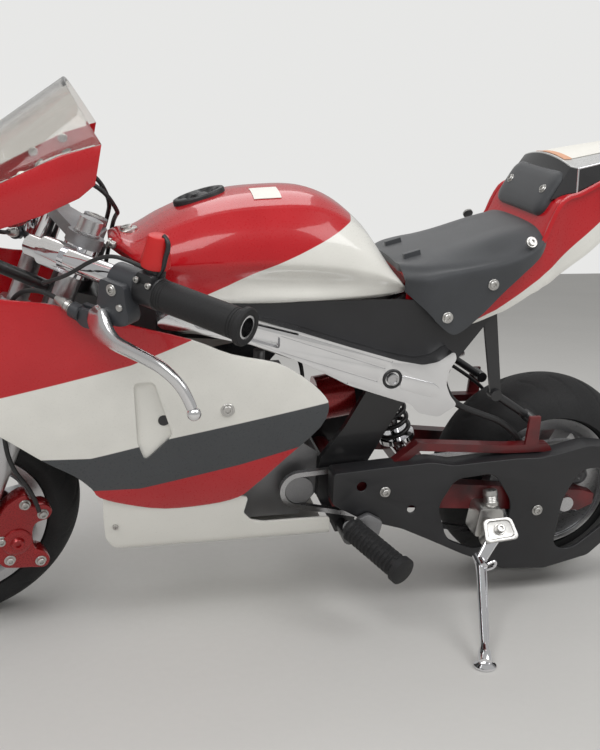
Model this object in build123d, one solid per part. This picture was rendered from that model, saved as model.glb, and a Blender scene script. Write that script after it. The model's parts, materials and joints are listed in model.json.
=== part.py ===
from build123d import *
import os
from math import atan2, cos, degrees, hypot, radians, sin, sqrt

os.makedirs("parts", exist_ok=True)

# Everything is in millimetres. The bike is drawn upright, with the front axle over X = 0,
# its tail towards +X, its left side towards -Y and the ground at Z = 0.
# At the end the steering is turned and the whole bike is leaned onto its side stand.

wheelbase = 730
lean_angle = 10.5
steer_angle = 16.5
rake_angle = 22
fork_offset = 28

front_tyre_radius = 140
front_tyre_width = 90
rear_tyre_radius = 138
rear_tyre_width = 110
rim_flange_radius = 92
rim_flange_thickness = 4.5
bead_radius = 83
barrel_inner_radius = 76
front_rim_width = 76
rear_rim_width = 86
spoke_thickness = 22

axle_radius = 6
running_clearance = 0.1
axle_nut_radius = 10
axle_nut_thickness = 8

leg_spacing = 65
slider_radius = 15
stanchion_radius = 12
slider_top = 205
slider_foot = 26
fork_top = 386
lower_clamp_bottom = 228
lower_clamp_thickness = 18
upper_clamp_bottom = 358
upper_clamp_thickness = 12
clamp_eye_radius = 19
stem_eye_radius = 15
stem_radius = 11
head_tube_radius = 22
head_tube_end_gap = 6

bar_radius = 11
bar_wall = 2
bar_start = (-72, -48, 338)
bar_end = (55.1, -280.6, 377.4)
grip_length = 98
grip_radius = 14.8
grip_flange_radius = 18
perch_place = 131
perch_length = 28
switch_length = 24
cable_radius = 2.5
lead_radius = 2
hose_radius = 4

spar_inner = 84
spar_outer = 112
spar_web = 12
spar_rim = 6

cradle_inner = 46
cradle_outer = 54
peg_bar_height = 108
swing_pivot = (445, 170)
pivot_tube_radius = 14
arm_inner = 76
arm_outer = 92
arm_front_half = 15
arm_rear_half = 14
arm_tail = 42
brace_height = 215
brace_half = 5
tyre_gap = 20
cross_member_length = 28

front_sprocket_centre = (393, 165)
front_sprocket_radius = 17
rear_sprocket_radius = 66
sprocket_thickness = 4
chain_line = 63
chain_width = 7
chain_height = 6
chain_gap = 0.8

disc_radius = 62
disc_thickness = 3

panel_thickness = 3.5
cover_outer = 104
cover_wall = 3

front_axle = (0, 0, front_tyre_radius)
front_crown = front_tyre_width / 2
rear_crown = rear_tyre_width / 2
rear_axle = (wheelbase, 0, rear_tyre_radius)

rake = radians(rake_angle)
steer_up = Vector(sin(rake), 0, cos(rake))
steer_back = Vector(cos(rake), 0, -sin(rake))
steer_origin = Vector(*front_axle) + steer_back * fork_offset
steering = Plane(origin=steer_origin, x_dir=steer_back, z_dir=steer_up)

pieces = {}


def mirrored(shape):
    return shape.mirror(Plane.XZ)


def turn_about(vector, axis, degrees_turned):
    turn = radians(degrees_turned)
    along = axis * axis.dot(vector)
    return along + (vector - along) * cos(turn) + axis.cross(vector) * sin(turn)


def rod(start, end, radius):
    along = Vector(*end) - Vector(*start)
    place = Plane(origin=Vector(*start), z_dir=along)
    return place * Cylinder(radius, along.length, align=(Align.CENTER, Align.CENTER, Align.MIN))


def cross_rod(x, z, radius, y_from, y_to):
    return rod((x, y_from, z), (x, y_to, z), radius)


def bent_tube(points, radius, bend):
    path = FilletPolyline(*points, radius=bend)
    start = Plane(origin=path @ 0, z_dir=path % 0)
    return sweep(start * Circle(radius), path=path)


def side_shape(points, y_from, y_to, corner=0):
    """A plate cut to an outline seen from the left, between two distances from the middle."""
    outline = make_face(Polyline(*points, close=True))
    if corner:
        outline = fillet(outline.vertices(), corner)
    low, high = min(y_from, y_to), max(y_from, y_to)
    return extrude(Plane.XZ.offset(-high) * outline, amount=high - low)


def both_sides(name, shape):
    pieces[name + "_left"] = shape
    pieces[name + "_right"] = mirrored(shape)


def arch_section(x, half_bottom, half_side, z_bottom, z_side, z_top, roundness=0.62):
    """A closed section across the bike: flat below, straight flanks, a rounded top."""
    base = Line((half_bottom, z_bottom), (-half_bottom, z_bottom))
    left = Line((-half_bottom, z_bottom), (-half_side, z_side))
    rise = z_top - z_side
    top = Spline(
        (-half_side, z_side),
        (-half_side * roundness, z_side + rise * 0.82),
        (0, z_top),
        (half_side * roundness, z_side + rise * 0.82),
        (half_side, z_side),
    )
    right = Line((half_side, z_side), (half_bottom, z_bottom))
    place = Plane(origin=(x, 0, 0), x_dir=(0, 1, 0), z_dir=(1, 0, 0))
    return place * make_face([base, left, top, right])


# ---- wheels -------------------------------------------------------------------------------

def turned(points, centre):
    """A solid of revolution about an axle; the points are (distance along axle, radius)."""
    outline = make_face(Polyline(*points, close=True))
    place = Plane(origin=centre, x_dir=(0, 1, 0), z_dir=(1, 0, 0))
    return revolve(place * outline, axis=Axis(centre, (0, 1, 0)), revolution_arc=360)


def tyre(centre, radius, width, rim_width):
    crown = width / 2
    lip = rim_width / 2 + 2
    seat = rim_width / 2 - rim_flange_thickness
    shoulder = radians(15)
    side_y = crown * cos(shoulder)
    side_r = radius - crown + crown * sin(shoulder)
    tread = ThreePointArc((-side_y, side_r), (0, radius), (side_y, side_r))
    walls = Polyline(
        (side_y, side_r),
        (lip, rim_flange_radius + 1.5),
        (seat, rim_flange_radius + 1),
        (seat, bead_radius),
        (-seat, bead_radius),
        (-seat, rim_flange_radius + 1),
        (-lip, rim_flange_radius + 1.5),
        (-side_y, side_r),
    )
    place = Plane(origin=centre, x_dir=(0, 1, 0), z_dir=(1, 0, 0))
    face = place * make_face([tread, walls])
    return revolve(face, axis=Axis(centre, (0, 1, 0)), revolution_arc=360)


def rim(centre, rim_width, hub_left, hub_right, hub_radius, windows):
    half = rim_width / 2
    seat = half - rim_flange_thickness
    barrel = turned(
        [
            (-half, barrel_inner_radius + 4),
            (-half, rim_flange_radius),
            (-seat, rim_flange_radius),
            (-seat, bead_radius),
            (seat, bead_radius),
            (seat, rim_flange_radius),
            (half, rim_flange_radius),
            (half, barrel_inner_radius + 4),
            (seat, barrel_inner_radius),
            (-seat, barrel_inner_radius),
        ],
        centre,
    )
    x, y, z = centre
    half_web = spoke_thickness / 2
    web = cross_rod(x, z, barrel_inner_radius + 1, -half_web, half_web)
    window = fillet(
        make_face(
            Polyline((27, -6), (27, 6), (70, 26), (72, 0), (70, -26), close=True)
        ).vertices(),
        3,
    )
    for turn in range(windows):
        angle = 360 / windows * (turn + 0.5)
        place = Plane(origin=(x, half_web + 1, z), x_dir=(1, 0, 0), z_dir=(0, -1, 0))
        web -= extrude(place * (Rotation(0, 0, angle) * window), amount=spoke_thickness + 2)
    hub = cross_rod(x, z, hub_radius, hub_left, hub_right)
    bore = cross_rod(x, z, axle_radius + running_clearance, hub_left - 1, hub_right + 1)
    return barrel + web + hub - bore


front_hub_left = -41
front_hub_right = 46
rear_hub_left = -60
rear_hub_right = 56

pieces["front_tyre"] = tyre(front_axle, front_tyre_radius, front_tyre_width, front_rim_width)
pieces["front_rim"] = rim(front_axle, front_rim_width, front_hub_left, front_hub_right, 20, 6)
pieces["rear_tyre"] = tyre(rear_axle, rear_tyre_radius, rear_tyre_width, rear_rim_width)
pieces["rear_rim"] = rim(rear_axle, rear_rim_width, rear_hub_left, rear_hub_right, 22, 6)


def brake_disc(centre, y_from, bore_radius):
    x, y, z = centre
    disc = cross_rod(x, z, disc_radius, y_from, y_from + disc_thickness)
    disc -= cross_rod(x, z, bore_radius, y_from - 1, y_from + disc_thickness + 1)
    for turn in range(6):
        angle = radians(60 * turn)
        disc -= cross_rod(
            x + 36 * cos(angle), z + 36 * sin(angle), 9, y_from - 1, y_from + disc_thickness + 1
        )
    return disc


disc_bore = 10
pieces["front_brake_disc"] = brake_disc(front_axle, front_hub_left - disc_thickness, disc_bore)
pieces["rear_brake_disc"] = brake_disc(rear_axle, rear_hub_right, disc_bore)

rear_x, rear_y, rear_z = rear_axle
sprocket_outer = rear_hub_left - sprocket_thickness
sprocket = cross_rod(rear_x, rear_z, rear_sprocket_radius, sprocket_outer, rear_hub_left)
sprocket -= cross_rod(rear_x, rear_z, disc_bore, sprocket_outer - 1, rear_hub_left + 1)
for turn in range(6):
    angle = radians(60 * turn + 30)
    sprocket -= cross_rod(
        rear_x + 40 * cos(angle), rear_z + 40 * sin(angle), 12, sprocket_outer - 1, rear_hub_left + 1
    )
pieces["rear_sprocket"] = sprocket

# ---- steering: fork, clamps, bars ---------------------------------------------------------

leg_x = -fork_offset


def fork_rod(z_from, z_to, radius, y=-leg_spacing):
    return steering * rod((leg_x, y, z_from), (leg_x, y, z_to), radius)


axle_z = front_axle[2]
slider_inner_face = leg_spacing - slider_radius
slider_outer_face = leg_spacing + slider_radius
slider = fork_rod(-slider_foot, slider_top, slider_radius)
slider += cross_rod(0, axle_z, slider_radius + 3, -slider_outer_face, -slider_inner_face)
slider += fork_rod(slider_top - 14, slider_top, slider_radius + 2)
slider -= cross_rod(0, axle_z, axle_radius, -slider_outer_face - 1, -slider_inner_face + 1)
caliper_lug = side_shape([(6, 118), (50, 118), (56, 158), (18, 172)], -70, -60)
plain_slider = slider
plain_leg = plain_slider + fork_rod(slider_top, fork_top, stanchion_radius)
slider_left = plain_slider + caliper_lug
pieces["fork_leg_left"] = plain_leg + caliper_lug
pieces["fork_leg_right"] = mirrored(plain_leg)


def clamp_yoke(z_from, thickness):
    arms = [Pos(leg_x, side * leg_spacing) * Circle(clamp_eye_radius) for side in (-1, 1)]
    eyes = arms[0] + arms[1] + Circle(stem_eye_radius)
    web = make_face(
        Polyline(
            (leg_x - 12, -leg_spacing),
            (leg_x - 12, leg_spacing),
            (leg_x + 12, leg_spacing),
            (stem_eye_radius - 1, 8),
            (stem_eye_radius - 1, -8),
            (leg_x + 12, -leg_spacing),
            close=True,
        )
    )
    plate = extrude(Pos(0, 0, z_from) * (eyes + web), amount=thickness)
    for side in (-1, 1):
        plate -= rod(
            (leg_x, side * leg_spacing, z_from - 1),
            (leg_x, side * leg_spacing, z_from + thickness + 1),
            stanchion_radius,
        )
    return plate


lower_clamp_top = lower_clamp_bottom + lower_clamp_thickness
stem = rod((0, 0, lower_clamp_top), (0, 0, upper_clamp_bottom), stem_radius)
pieces["lower_fork_clamp"] = steering * (clamp_yoke(lower_clamp_bottom, lower_clamp_thickness) + stem)
stem_nut = rod((0, 0, 0), (0, 0, 9), 13)
upper_top = upper_clamp_bottom + upper_clamp_thickness
upper_clamp = clamp_yoke(upper_clamp_bottom, upper_clamp_thickness) + Pos(0, 0, upper_top) * stem_nut
pieces["upper_fork_clamp"] = steering * upper_clamp

axle_end = slider_outer_face + axle_nut_thickness
front_axle_rod = cross_rod(0, axle_z, axle_radius, -axle_end, axle_end)
for side in (-1, 1):
    front_axle_rod += cross_rod(
        0, axle_z, axle_nut_radius, side * slider_outer_face, side * axle_end
    )
left_spacer_end = -(slider_inner_face)
front_axle_rod += cross_rod(0, axle_z, 9, left_spacer_end, front_hub_left - running_clearance)
front_axle_rod += cross_rod(0, axle_z, 9, slider_inner_face, front_hub_right + running_clearance)
pieces["front_axle"] = front_axle_rod

caliper_outline = [(44, 104), (86, 100), (100, 128), (98, 158), (78, 176), (56, 172), (46, 140)]
caliper = side_shape(caliper_outline, -78, -50, corner=5)
caliper += side_shape([(46, 112), (60, 112), (60, 152), (46, 152)], -50, -48)
caliper += side_shape([(64, 118), (70, 118), (70, 152), (64, 152)], -50, -30)
caliper += side_shape([(42, 120), (70, 120), (70, 148), (42, 148)], -38, -30)
caliper += cross_rod(72, 138, 13, -90, -78)
pieces["front_caliper"] = caliper - slider_left

bar_a = Vector(*bar_start)
bar_b = Vector(*bar_end)
bar_dir = (bar_b - bar_a).normalized()
bar_length = (bar_b - bar_a).length


def along_bar(distance):
    return bar_a + bar_dir * distance


def bar_sleeve(start, end, radius):
    sleeve = rod(along_bar(start), along_bar(end), radius)
    return sleeve - rod(along_bar(start - 1), along_bar(end + 1), bar_radius)


bar_hole = rod(along_bar(-1), along_bar(bar_length + 1), bar_radius - bar_wall)
bar = rod(bar_a, bar_b, bar_radius)

grip_start = bar_length - grip_length
grip_body = bar_sleeve(grip_start, bar_length - 6, grip_radius)
grip_body += bar_sleeve(bar_length - 6, bar_length + 1, grip_flange_radius)
both_sides("grip", steering * grip_body)

clamp_near = (Vector(leg_x, -leg_spacing, 0) - Vector(bar_a.X, bar_a.Y, 0)).dot(
    Vector(bar_dir.X, bar_dir.Y, 0).normalized()
)
clamp_height = along_bar(clamp_near).Z
clip = rod((leg_x, -leg_spacing, clamp_height - 17), (leg_x, -leg_spacing, upper_clamp_bottom), 18)
clip += rod(along_bar(clamp_near - 15), along_bar(clamp_near + 15), bar_radius + 4)
clip -= rod((leg_x, -leg_spacing, 200), (leg_x, -leg_spacing, 400), stanchion_radius)
clip -= rod((leg_x, -leg_spacing, upper_clamp_bottom), (leg_x, -leg_spacing, fork_top), 60)
both_sides("handlebar", steering * (bar + clip - bar_hole))

bar_down = Vector(sin(rake), 0, -cos(rake))
ahead = bar_dir.cross(bar_down).normalized()
if ahead.X > 0:
    ahead = ahead * -1


def off_bar(distance, forward, below):
    return along_bar(distance) + ahead * forward + bar_down * below


def bar_plate(outline, near, far):
    """A plate beside the bar; the outline's points are (distance along the bar, below it)."""
    points = [off_bar(distance, near, below) for distance, below in outline]
    face = make_face(Polyline(*points, close=True))
    return extrude(face, amount=far - near, dir=ahead)


half_perch = perch_length / 2
perch_start = perch_place - half_perch
perch_end = perch_place + half_perch
perch_outline = [
    (perch_start, -4), (perch_end, -4), (perch_end + 4, 22), (perch_end - 8, 34), (perch_start - 10, 50),
    (perch_start - 34, 46), (perch_start - 36, 32), (perch_start - 18, 30), (perch_start - 4, 20),
]
barrel_start = off_bar(perch_start - 34, 20, 38)
barrel_end = off_bar(perch_start - 60, 22, 33)
perch = bar_sleeve(perch_start, perch_end, bar_radius + 5)
perch += bar_plate(perch_outline, 8, 24)
perch -= rod(along_bar(0), along_bar(bar_length), bar_radius)
perch += rod(barrel_start, barrel_end, 5)
both_sides("lever_perch", steering * perch)

# lever stations: distance along the bar, forward of it, below it, radius
lever_points = [
    (118, 18, 30, 6), (130, 26, 42, 8), (150, 34, 45, 7), (178, 40, 43, 6), (203, 44, 43, 5.5),
    (223, 45, 49, 5), (235, 44, 59, 4.5), (245, 42, 78, 4.5),
]
lever_ball_radius = 6.5
lever_steps = [off_bar(distance, forward, below) for distance, forward, below, radius in lever_points]
lever = Pos(*lever_steps[-1]) * Sphere(lever_ball_radius)
for step in range(len(lever_steps) - 1):
    radius = lever_points[step][3]
    lever += rod(lever_steps[step], lever_steps[step + 1], radius)
    lever += Pos(*lever_steps[step + 1]) * Sphere(radius + 0.4)
lever -= perch
both_sides("brake_lever", steering * lever)

switch_start = perch_end
switch_place = switch_start + switch_length / 2
switch = bar_sleeve(switch_start, grip_start, bar_radius + 4)
switch += rod(off_bar(switch_place, 0, -10), off_bar(switch_place + 2, -3, -24), 9)
switch -= rod(along_bar(0), along_bar(bar_length), bar_radius)
switch += rod(off_bar(switch_place + 2, -3, -24), off_bar(switch_place + 3, -4, -50), 11)
switch -= perch
pieces["kill_switch"] = steering * switch
throttle = bar_sleeve(perch_end, grip_start, bar_radius + 9)
pieces["throttle_housing"] = mirrored(steering * (throttle - perch))


def cable(points, radius, bends):
    """A cable along straight runs with one bend radius at each corner."""
    path = FilletPolyline(*points, radius=bends)
    section = Plane(origin=path @ 0, z_dir=path % 0) * Circle(radius)
    return sweep(section, path=path)


def widest_bends(points, least):
    """The largest bend that each corner's two runs leave room for."""
    bends = []
    for before, corner, after in zip(points, points[1:], points[2:]):
        first = Vector(*corner) - Vector(*before)
        second = Vector(*after) - Vector(*corner)
        half_turn = radians(first.get_angle(second)) / 2
        room = 0.45 * min(first.length, second.length)
        bends.append(max(room / max(sin(half_turn) / cos(half_turn), 0.02), least))
    print("bends", [round(bend) for bend in bends])
    return bends


# the left lever's cable, in the steering's own directions: behind the axis, across, up
barrel_run = (barrel_end - barrel_start).normalized()
brake_cable_points = [
    tuple(barrel_end), tuple(barrel_end + barrel_run * 24), (-78, -64, 286), (-74, -68, 258), (-60, -78, 228),
    (-52, -86, 192),
    (-47, -91, 150), (-26, -95, 112), (8, -92, 86), (26, -86, 60),
]
brake_cable = cable(brake_cable_points, cable_radius, widest_bends(brake_cable_points, 12))
pieces["front_brake_cable"] = steering * brake_cable
lead_points = [
    tuple(off_bar(distance, forward, below))
    for distance, forward, below in [
        (154, -1, -19), (136, 8, -26), (118, 12, -26), (100, 18, -17), (80, 24, 0), (62, 28, 11), (46, 28, 19),
    ]
]
lead = cable(lead_points, lead_radius, widest_bends(lead_points, 8))
lead += rod(lead_points[-1], tuple(Vector(*lead_points[-1]) - bar_dir * 16), 5)
lead -= perch + switch
pieces["kill_switch_lead"] = steering * lead

# ---- frame --------------------------------------------------------------------------------

head_bottom = lower_clamp_top + head_tube_end_gap
head_top = upper_clamp_bottom - head_tube_end_gap
head = steering * rod((0, 0, head_bottom), (0, 0, head_top), head_tube_radius)
head_middle = steering.from_local_coords(Vector(0, 0, (head_bottom + head_top) / 2))
neck_arm = [(head_middle.X, 20), (224, spar_inner), (262, spar_inner), (205, 30), (175, 14)]
neck_outline = make_face(Polyline(*neck_arm, close=True))
neck_bridge = make_face(
    Polyline((head_middle.X, 21), (200, 30), (200, -30), (head_middle.X, -21), close=True)
)
neck_bottom = 372
neck_height = 30
neck_left = extrude(Pos(0, 0, neck_bottom) * neck_outline, amount=neck_height)
neck_web = extrude(Pos(0, 0, neck_bottom) * neck_bridge, amount=neck_height)
neck = head + neck_left + mirrored(neck_left) + neck_web

spar_outline = [
    (222, 393), (236, 402), (308, 397), (372, 379), (429, 360), (487, 342), (534, 340),
    (552, 351), (558, 330), (546, 308), (562, 286), (541, 272), (516, 278), (491, 294),
    (432, 315), (374, 345), (319, 366), (266, 379), (226, 386),
]
outline_face = make_face(Polyline(*spar_outline, close=True))
spar_plane = Plane.XZ.offset(spar_inner)
web_part = extrude(spar_plane * outline_face, amount=spar_web)
edge_part = extrude(spar_plane * outline_face, amount=spar_outer - spar_inner)
pocket = offset(outline_face, amount=-spar_rim, kind=Kind.INTERSECTION)
edge_part -= extrude(Plane.XZ.offset(spar_inner + spar_web) * pocket, amount=40)
spar = web_part + edge_part
spar_rib = [(236, 393), (312, 385), (540, 322), (540, 312), (312, 375), (236, 388)]
spar += side_shape(spar_rib, -spar_outer, -spar_inner)
spar += cross_rod(479, 323, 15, -spar_outer - 2, -spar_inner)
both_sides("frame_spar", spar)

plate_outline = [
    (420, 200), (418, 150), (438, 110), (444, 98), (466, 98), (478, 190), (528, 285), (530, 318),
    (494, 326), (448, 240),
]
cradle = side_shape(plate_outline, -cradle_outer, -cradle_inner)
cradle += mirrored(side_shape(plate_outline, -cradle_outer, -cradle_inner))
cradle += cross_rod(508, 308, 10, -spar_inner, spar_inner)
cradle += side_shape([(418, 150), (424, 150), (424, 200), (418, 200)], -cradle_inner, cradle_inner)
cradle -= cross_rod(*swing_pivot, pivot_tube_radius, -100, 100)
peg_root = Vector(444, -112, 137)
peg_tip = Vector(484, -192, 122)
peg_dir = (peg_tip - peg_root).normalized()
peg_length = (peg_tip - peg_root).length
peg_plane = Plane(origin=peg_root, z_dir=peg_dir)
peg = peg_plane * Cone(11, 17, peg_length, align=(Align.CENTER, Align.CENTER, Align.MIN))
both_sides("foot_peg", peg)
bracket = rod((452, -cradle_inner, peg_bar_height), (452, -88, peg_bar_height), 8)
bracket += Pos(452, -88, peg_bar_height) * Sphere(8)
bracket += rod((452, -88, peg_bar_height), peg_root, 8)
bracket -= peg_plane * Pos(0, 0, 50) * Box(80, 80, 100)
cradle += bracket + mirrored(bracket)

engine_front = 300
engine_rear = 418
engine_half = 44
down_tube = rod((192, -25, neck_bottom + 4), (286, -34, 160), 9)
down_tube -= extrude(Pos(0, 0, neck_bottom) * Rectangle(900, 300), amount=60)
engine_mount = side_shape([(276, 146), (engine_front, 146), (engine_front, 172), (276, 172)], -46, 46)
stay_rows = [(228, 290), (268, 204)]
down = down_tube + mirrored(down_tube) + engine_mount
for x, z in stay_rows:
    down += cross_rod(x, z, 6, -150, 150)

arm_x, arm_z = swing_pivot
arm_outline = [
    (arm_x - 18, arm_z + arm_front_half), (arm_x - 18, arm_z - arm_front_half),
    (wheelbase + 24, rear_tyre_radius - arm_rear_half), (wheelbase + arm_tail, rear_tyre_radius - 6),
    (wheelbase + arm_tail, rear_tyre_radius + 8), (wheelbase + 24, rear_tyre_radius + arm_rear_half),
    (arm_x + 20, arm_z + arm_front_half + 2),
]
# the brace over each arm: along, up, from the pivot's end to the axle's
brace_line = [
    (arm_x + 25, arm_z + 8), (arm_x + 85, brace_height + 10), (wheelbase - 86, brace_height),
    (wheelbase - 34, brace_height - 1), (wheelbase + 6, rear_tyre_radius + 6),
]
brace_outer = arm_outer - 1
brace_inner = arm_inner + 2
arm = side_shape(arm_outline, -arm_outer, -arm_inner)
for (x_from, z_from), (x_to, z_to) in zip(brace_line, brace_line[1:]):
    run = hypot(x_to - x_from, z_to - z_from)
    side_x = -(z_to - z_from) / run * brace_half
    side_z = (x_to - x_from) / run * brace_half
    arm += side_shape(
        [
            (x_from + side_x, z_from + side_z), (x_to + side_x, z_to + side_z),
            (x_to - side_x, z_to - side_z), (x_from - side_x, z_from - side_z),
        ],
        -brace_outer,
        -brace_inner,
    )
for x, z in brace_line[1:-1]:
    arm += cross_rod(x, z, brace_half, -brace_outer, -brace_inner)
link_foot = (wheelbase - 54, 249)
link_y = -72
arm += side_shape(
    [
        (link_foot[0] - 9, brace_height), (link_foot[0] + 9, brace_height),
        (link_foot[0] + 7, link_foot[1] + 7), (link_foot[0] - 7, link_foot[1] + 7),
    ],
    -brace_outer,
    -brace_outer + 4,
)
tyre_front = wheelbase - rear_tyre_radius - tyre_gap
swingarm = arm + mirrored(arm) + cross_rod(arm_x, arm_z, pivot_tube_radius, -arm_outer, arm_outer)
cross_front = tyre_front - cross_member_length
cross_member = [(cross_front, 146), (tyre_front, 143), (tyre_front, 170), (cross_front, 173)]
swingarm += side_shape(cross_member, -arm_inner, arm_inner)
swingarm -= cross_rod(wheelbase, rear_axle[2], axle_radius, -120, 120)

rear_end = arm_outer + axle_nut_thickness
rear_axle_rod = cross_rod(wheelbase, rear_z, axle_radius, -rear_end, rear_end + 6)
for side in (-1, 1):
    rear_axle_rod += cross_rod(wheelbase, rear_z, axle_nut_radius, side * arm_outer, side * rear_end)
    hub_end = rear_hub_left if side < 0 else rear_hub_right
    rear_axle_rod += cross_rod(wheelbase, rear_z, 9, side * arm_inner, hub_end + side * running_clearance)
pieces["swingarm"] = swingarm
pieces["rear_axle"] = rear_axle_rod

shock_top = Vector(504, 0, 292)
shock_foot = Vector(tyre_front - 32, 0, 182)
shock_dir = (shock_foot - shock_top).normalized()
shock = rod(shock_top, shock_foot, 6)
shock += rod(shock_top + shock_dir * 16, shock_top + shock_dir * 22, 23)
shock += rod(shock_foot - shock_dir * 22, shock_foot - shock_dir * 16, 23)
shock += rod(shock_top + shock_dir * 22, shock_top + shock_dir * 60, 13)
shock += cross_rod(shock_top.X, shock_top.Z, 9, -14, 14)
shock += cross_rod(shock_foot.X, shock_foot.Z, 9, -14, 14)
shock -= cradle
shock -= pieces["swingarm"]
pieces["shock_absorber"] = shock

coil_plane = Plane(origin=shock_top + shock_dir * 25, z_dir=shock_dir)
coil_length = (shock_foot - shock_top).length - 25 - 25
coil_path = coil_plane * Helix(pitch=coil_length / 5, height=coil_length, radius=18.5)
coil_start = Plane(origin=coil_path @ 0, z_dir=coil_path % 0)
pieces["shock_spring"] = sweep(coil_start * Circle(3), path=coil_path)

# ---- engine, chain, exhaust ---------------------------------------------------------------

case_outline = [
    (engine_front, 146), (330, 122), (engine_rear - 20, 122), (engine_rear, 150),
    (engine_rear, 205), (engine_rear - 25, 222), (engine_front + 15, 222), (engine_front, 200),
]
engine = side_shape(case_outline, -engine_half, engine_half)
engine += cross_rod(352, 172, 46, engine_half, engine_half + 13)
engine += cross_rod(*front_sprocket_centre, 10, -engine_half - 12, -engine_half)
fin_count = 8
for fin in range(fin_count):
    size = 74 if fin < fin_count - 1 else 62
    engine += Pos(352, 0, 232 + fin * 9) * Box(size, size, 4)
engine += Pos(352, 0, 258) * Cylinder(27, 82)
engine += rod((352, 0, 297), (352, 0, 322), 7)
engine += rod((380, 0, 250), (425, 0, 256), 15) + Pos(408, 0, 240) * Cylinder(14, 42)

sprocket_x, sprocket_z = front_sprocket_centre
half_chain = chain_width / 2
front_sprocket = cross_rod(
    sprocket_x, sprocket_z, front_sprocket_radius, -chain_line - 2, -chain_line + 2
)
front_sprocket += cross_rod(sprocket_x, sprocket_z, 8, -chain_line, -engine_half - 12)
pieces["engine"] = engine + front_sprocket
pieces["air_filter"] = rod((425, 0, 256), (468, 0, 263), 28) - engine


def belt_outline(grow):
    """The outline of a loop round both sprockets, seen from the left."""
    small = front_sprocket_radius + grow
    large = rear_sprocket_radius + grow
    run_x = wheelbase - sprocket_x
    run_z = rear_z - sprocket_z
    distance = hypot(run_x, run_z)
    tilt = atan2(run_z, run_x)
    lift = atan2(large - small, sqrt(distance ** 2 - (large - small) ** 2))
    upper = tilt + radians(90) + lift
    lower = tilt - radians(90) - lift

    def spot(centre_x, centre_z, radius, angle):
        return (centre_x + radius * cos(angle), centre_z + radius * sin(angle))

    front_top = spot(sprocket_x, sprocket_z, small, upper)
    front_low = spot(sprocket_x, sprocket_z, small, lower)
    front_mid = spot(sprocket_x, sprocket_z, small, tilt + radians(180))
    rear_top = spot(wheelbase, rear_z, large, upper)
    rear_low = spot(wheelbase, rear_z, large, lower)
    rear_mid = spot(wheelbase, rear_z, large, tilt)
    return make_face(
        [
            Line(front_top, rear_top),
            ThreePointArc(rear_top, rear_mid, rear_low),
            Line(rear_low, front_low),
            ThreePointArc(front_low, front_mid, front_top),
        ]
    )


chain_plane = Plane.XZ.offset(chain_line - half_chain)
chain = extrude(chain_plane * belt_outline(chain_gap + chain_height), amount=chain_width)
chain -= extrude(chain_plane * belt_outline(chain_gap), amount=chain_width)
pieces["chain"] = chain

header_path = [
    (318, 0, 246), (258, 0, 243), (234, 16, 200), (246, 58, 166), (300, 72, 150), (400, 72, 186),
    (455, 112, 210),
]
header = bent_tube(header_path, 10, 14)
muffler = rod((450, 117, 207), (470, 119, 214), 17) + rod((465, 119, 213), (640, 122, 262), 26)
muffler += rod((640, 122, 262), (668, 122, 270), 9)
exhaust = header + muffler - engine
pieces["exhaust"] = exhaust

# the rear caliper's outlines are distances behind the axle and above it
caliper_body = [(-56, 42), (-18, 52), (-20, 74), (-42, 70), (-62, 54)]
caliper_slot = [(-80, 32), (0, 32), (0, 64), (-80, 64)]
caliper_stay = [(-52, -8), (-30, -8), (-24, 48), (-52, 48)]


def by_rear_axle(outline):
    return [(wheelbase + behind, rear_tyre_radius + above) for behind, above in outline]


caliper_rear = side_shape(by_rear_axle(caliper_body), 50, arm_inner, corner=4)
caliper_rear -= side_shape(by_rear_axle(caliper_slot), 53, 62)
caliper_rear += side_shape(by_rear_axle(caliper_stay), 70, arm_inner)
pieces["rear_caliper"] = caliper_rear - arm - mirrored(arm)

# ---- bodywork -----------------------------------------------------------------------------

# tank sections: x, half width below, half width at shoulder, bottom, shoulder, top
tank_rows = [
    (186, 30, 42, 450, 456, 466),
    (205, 62, 72, 440, 448, 464),
    (240, 80, 90, 414, 448, 486),
    (285, 84, 96, 404, 452, 504),
    (345, 84, 97, 402, 450, 514),
    (405, 82, 95, 402, 446, 513),
    (455, 78, 88, 404, 438, 482),
    (498, 70, 74, 408, 416, 424),
]
tank = loft([arch_section(*row) for row in tank_rows])
tank -= pieces["frame_spar_left"] + pieces["frame_spar_right"]
pieces["tank_cover"] = tank

cap_place = Plane(origin=(279, 0, 490), z_dir=(-0.32, 0, 1))
cap = extrude(cap_place * Ellipse(29, 21), amount=15)
pieces["fuel_cap"] = cap - tank

# cowl sections: x, half width below, half width at shoulder, bottom, shoulder, top
cowl_rows = [
    (503, 74, 76, 402, 424, 432),
    (560, 84, 86, 372, 438, 448),
    (615, 84, 86, 386, 452, 464),
    (662, 80, 84, 410, 468, 482),
    (700, 70, 74, 432, 530, 545),
    (750, 58, 64, 468, 556, 566),
    (818, 36, 48, 520, 566, 574),
]
cowl = loft([arch_section(*row, roundness=0.8) for row in cowl_rows], ruled=True)
hollow_rows = [
    (x, wb - panel_thickness, ws - panel_thickness, zb - 25, zs - 2, zt - panel_thickness)
    for x, wb, ws, zb, zs, zt in cowl_rows
]
first = (490,) + hollow_rows[0][1:]
hollow = loft([arch_section(*row, roundness=0.8) for row in [first] + hollow_rows[1:-1]], ruled=True)
pieces["tail_cowl"] = cowl - hollow

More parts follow.
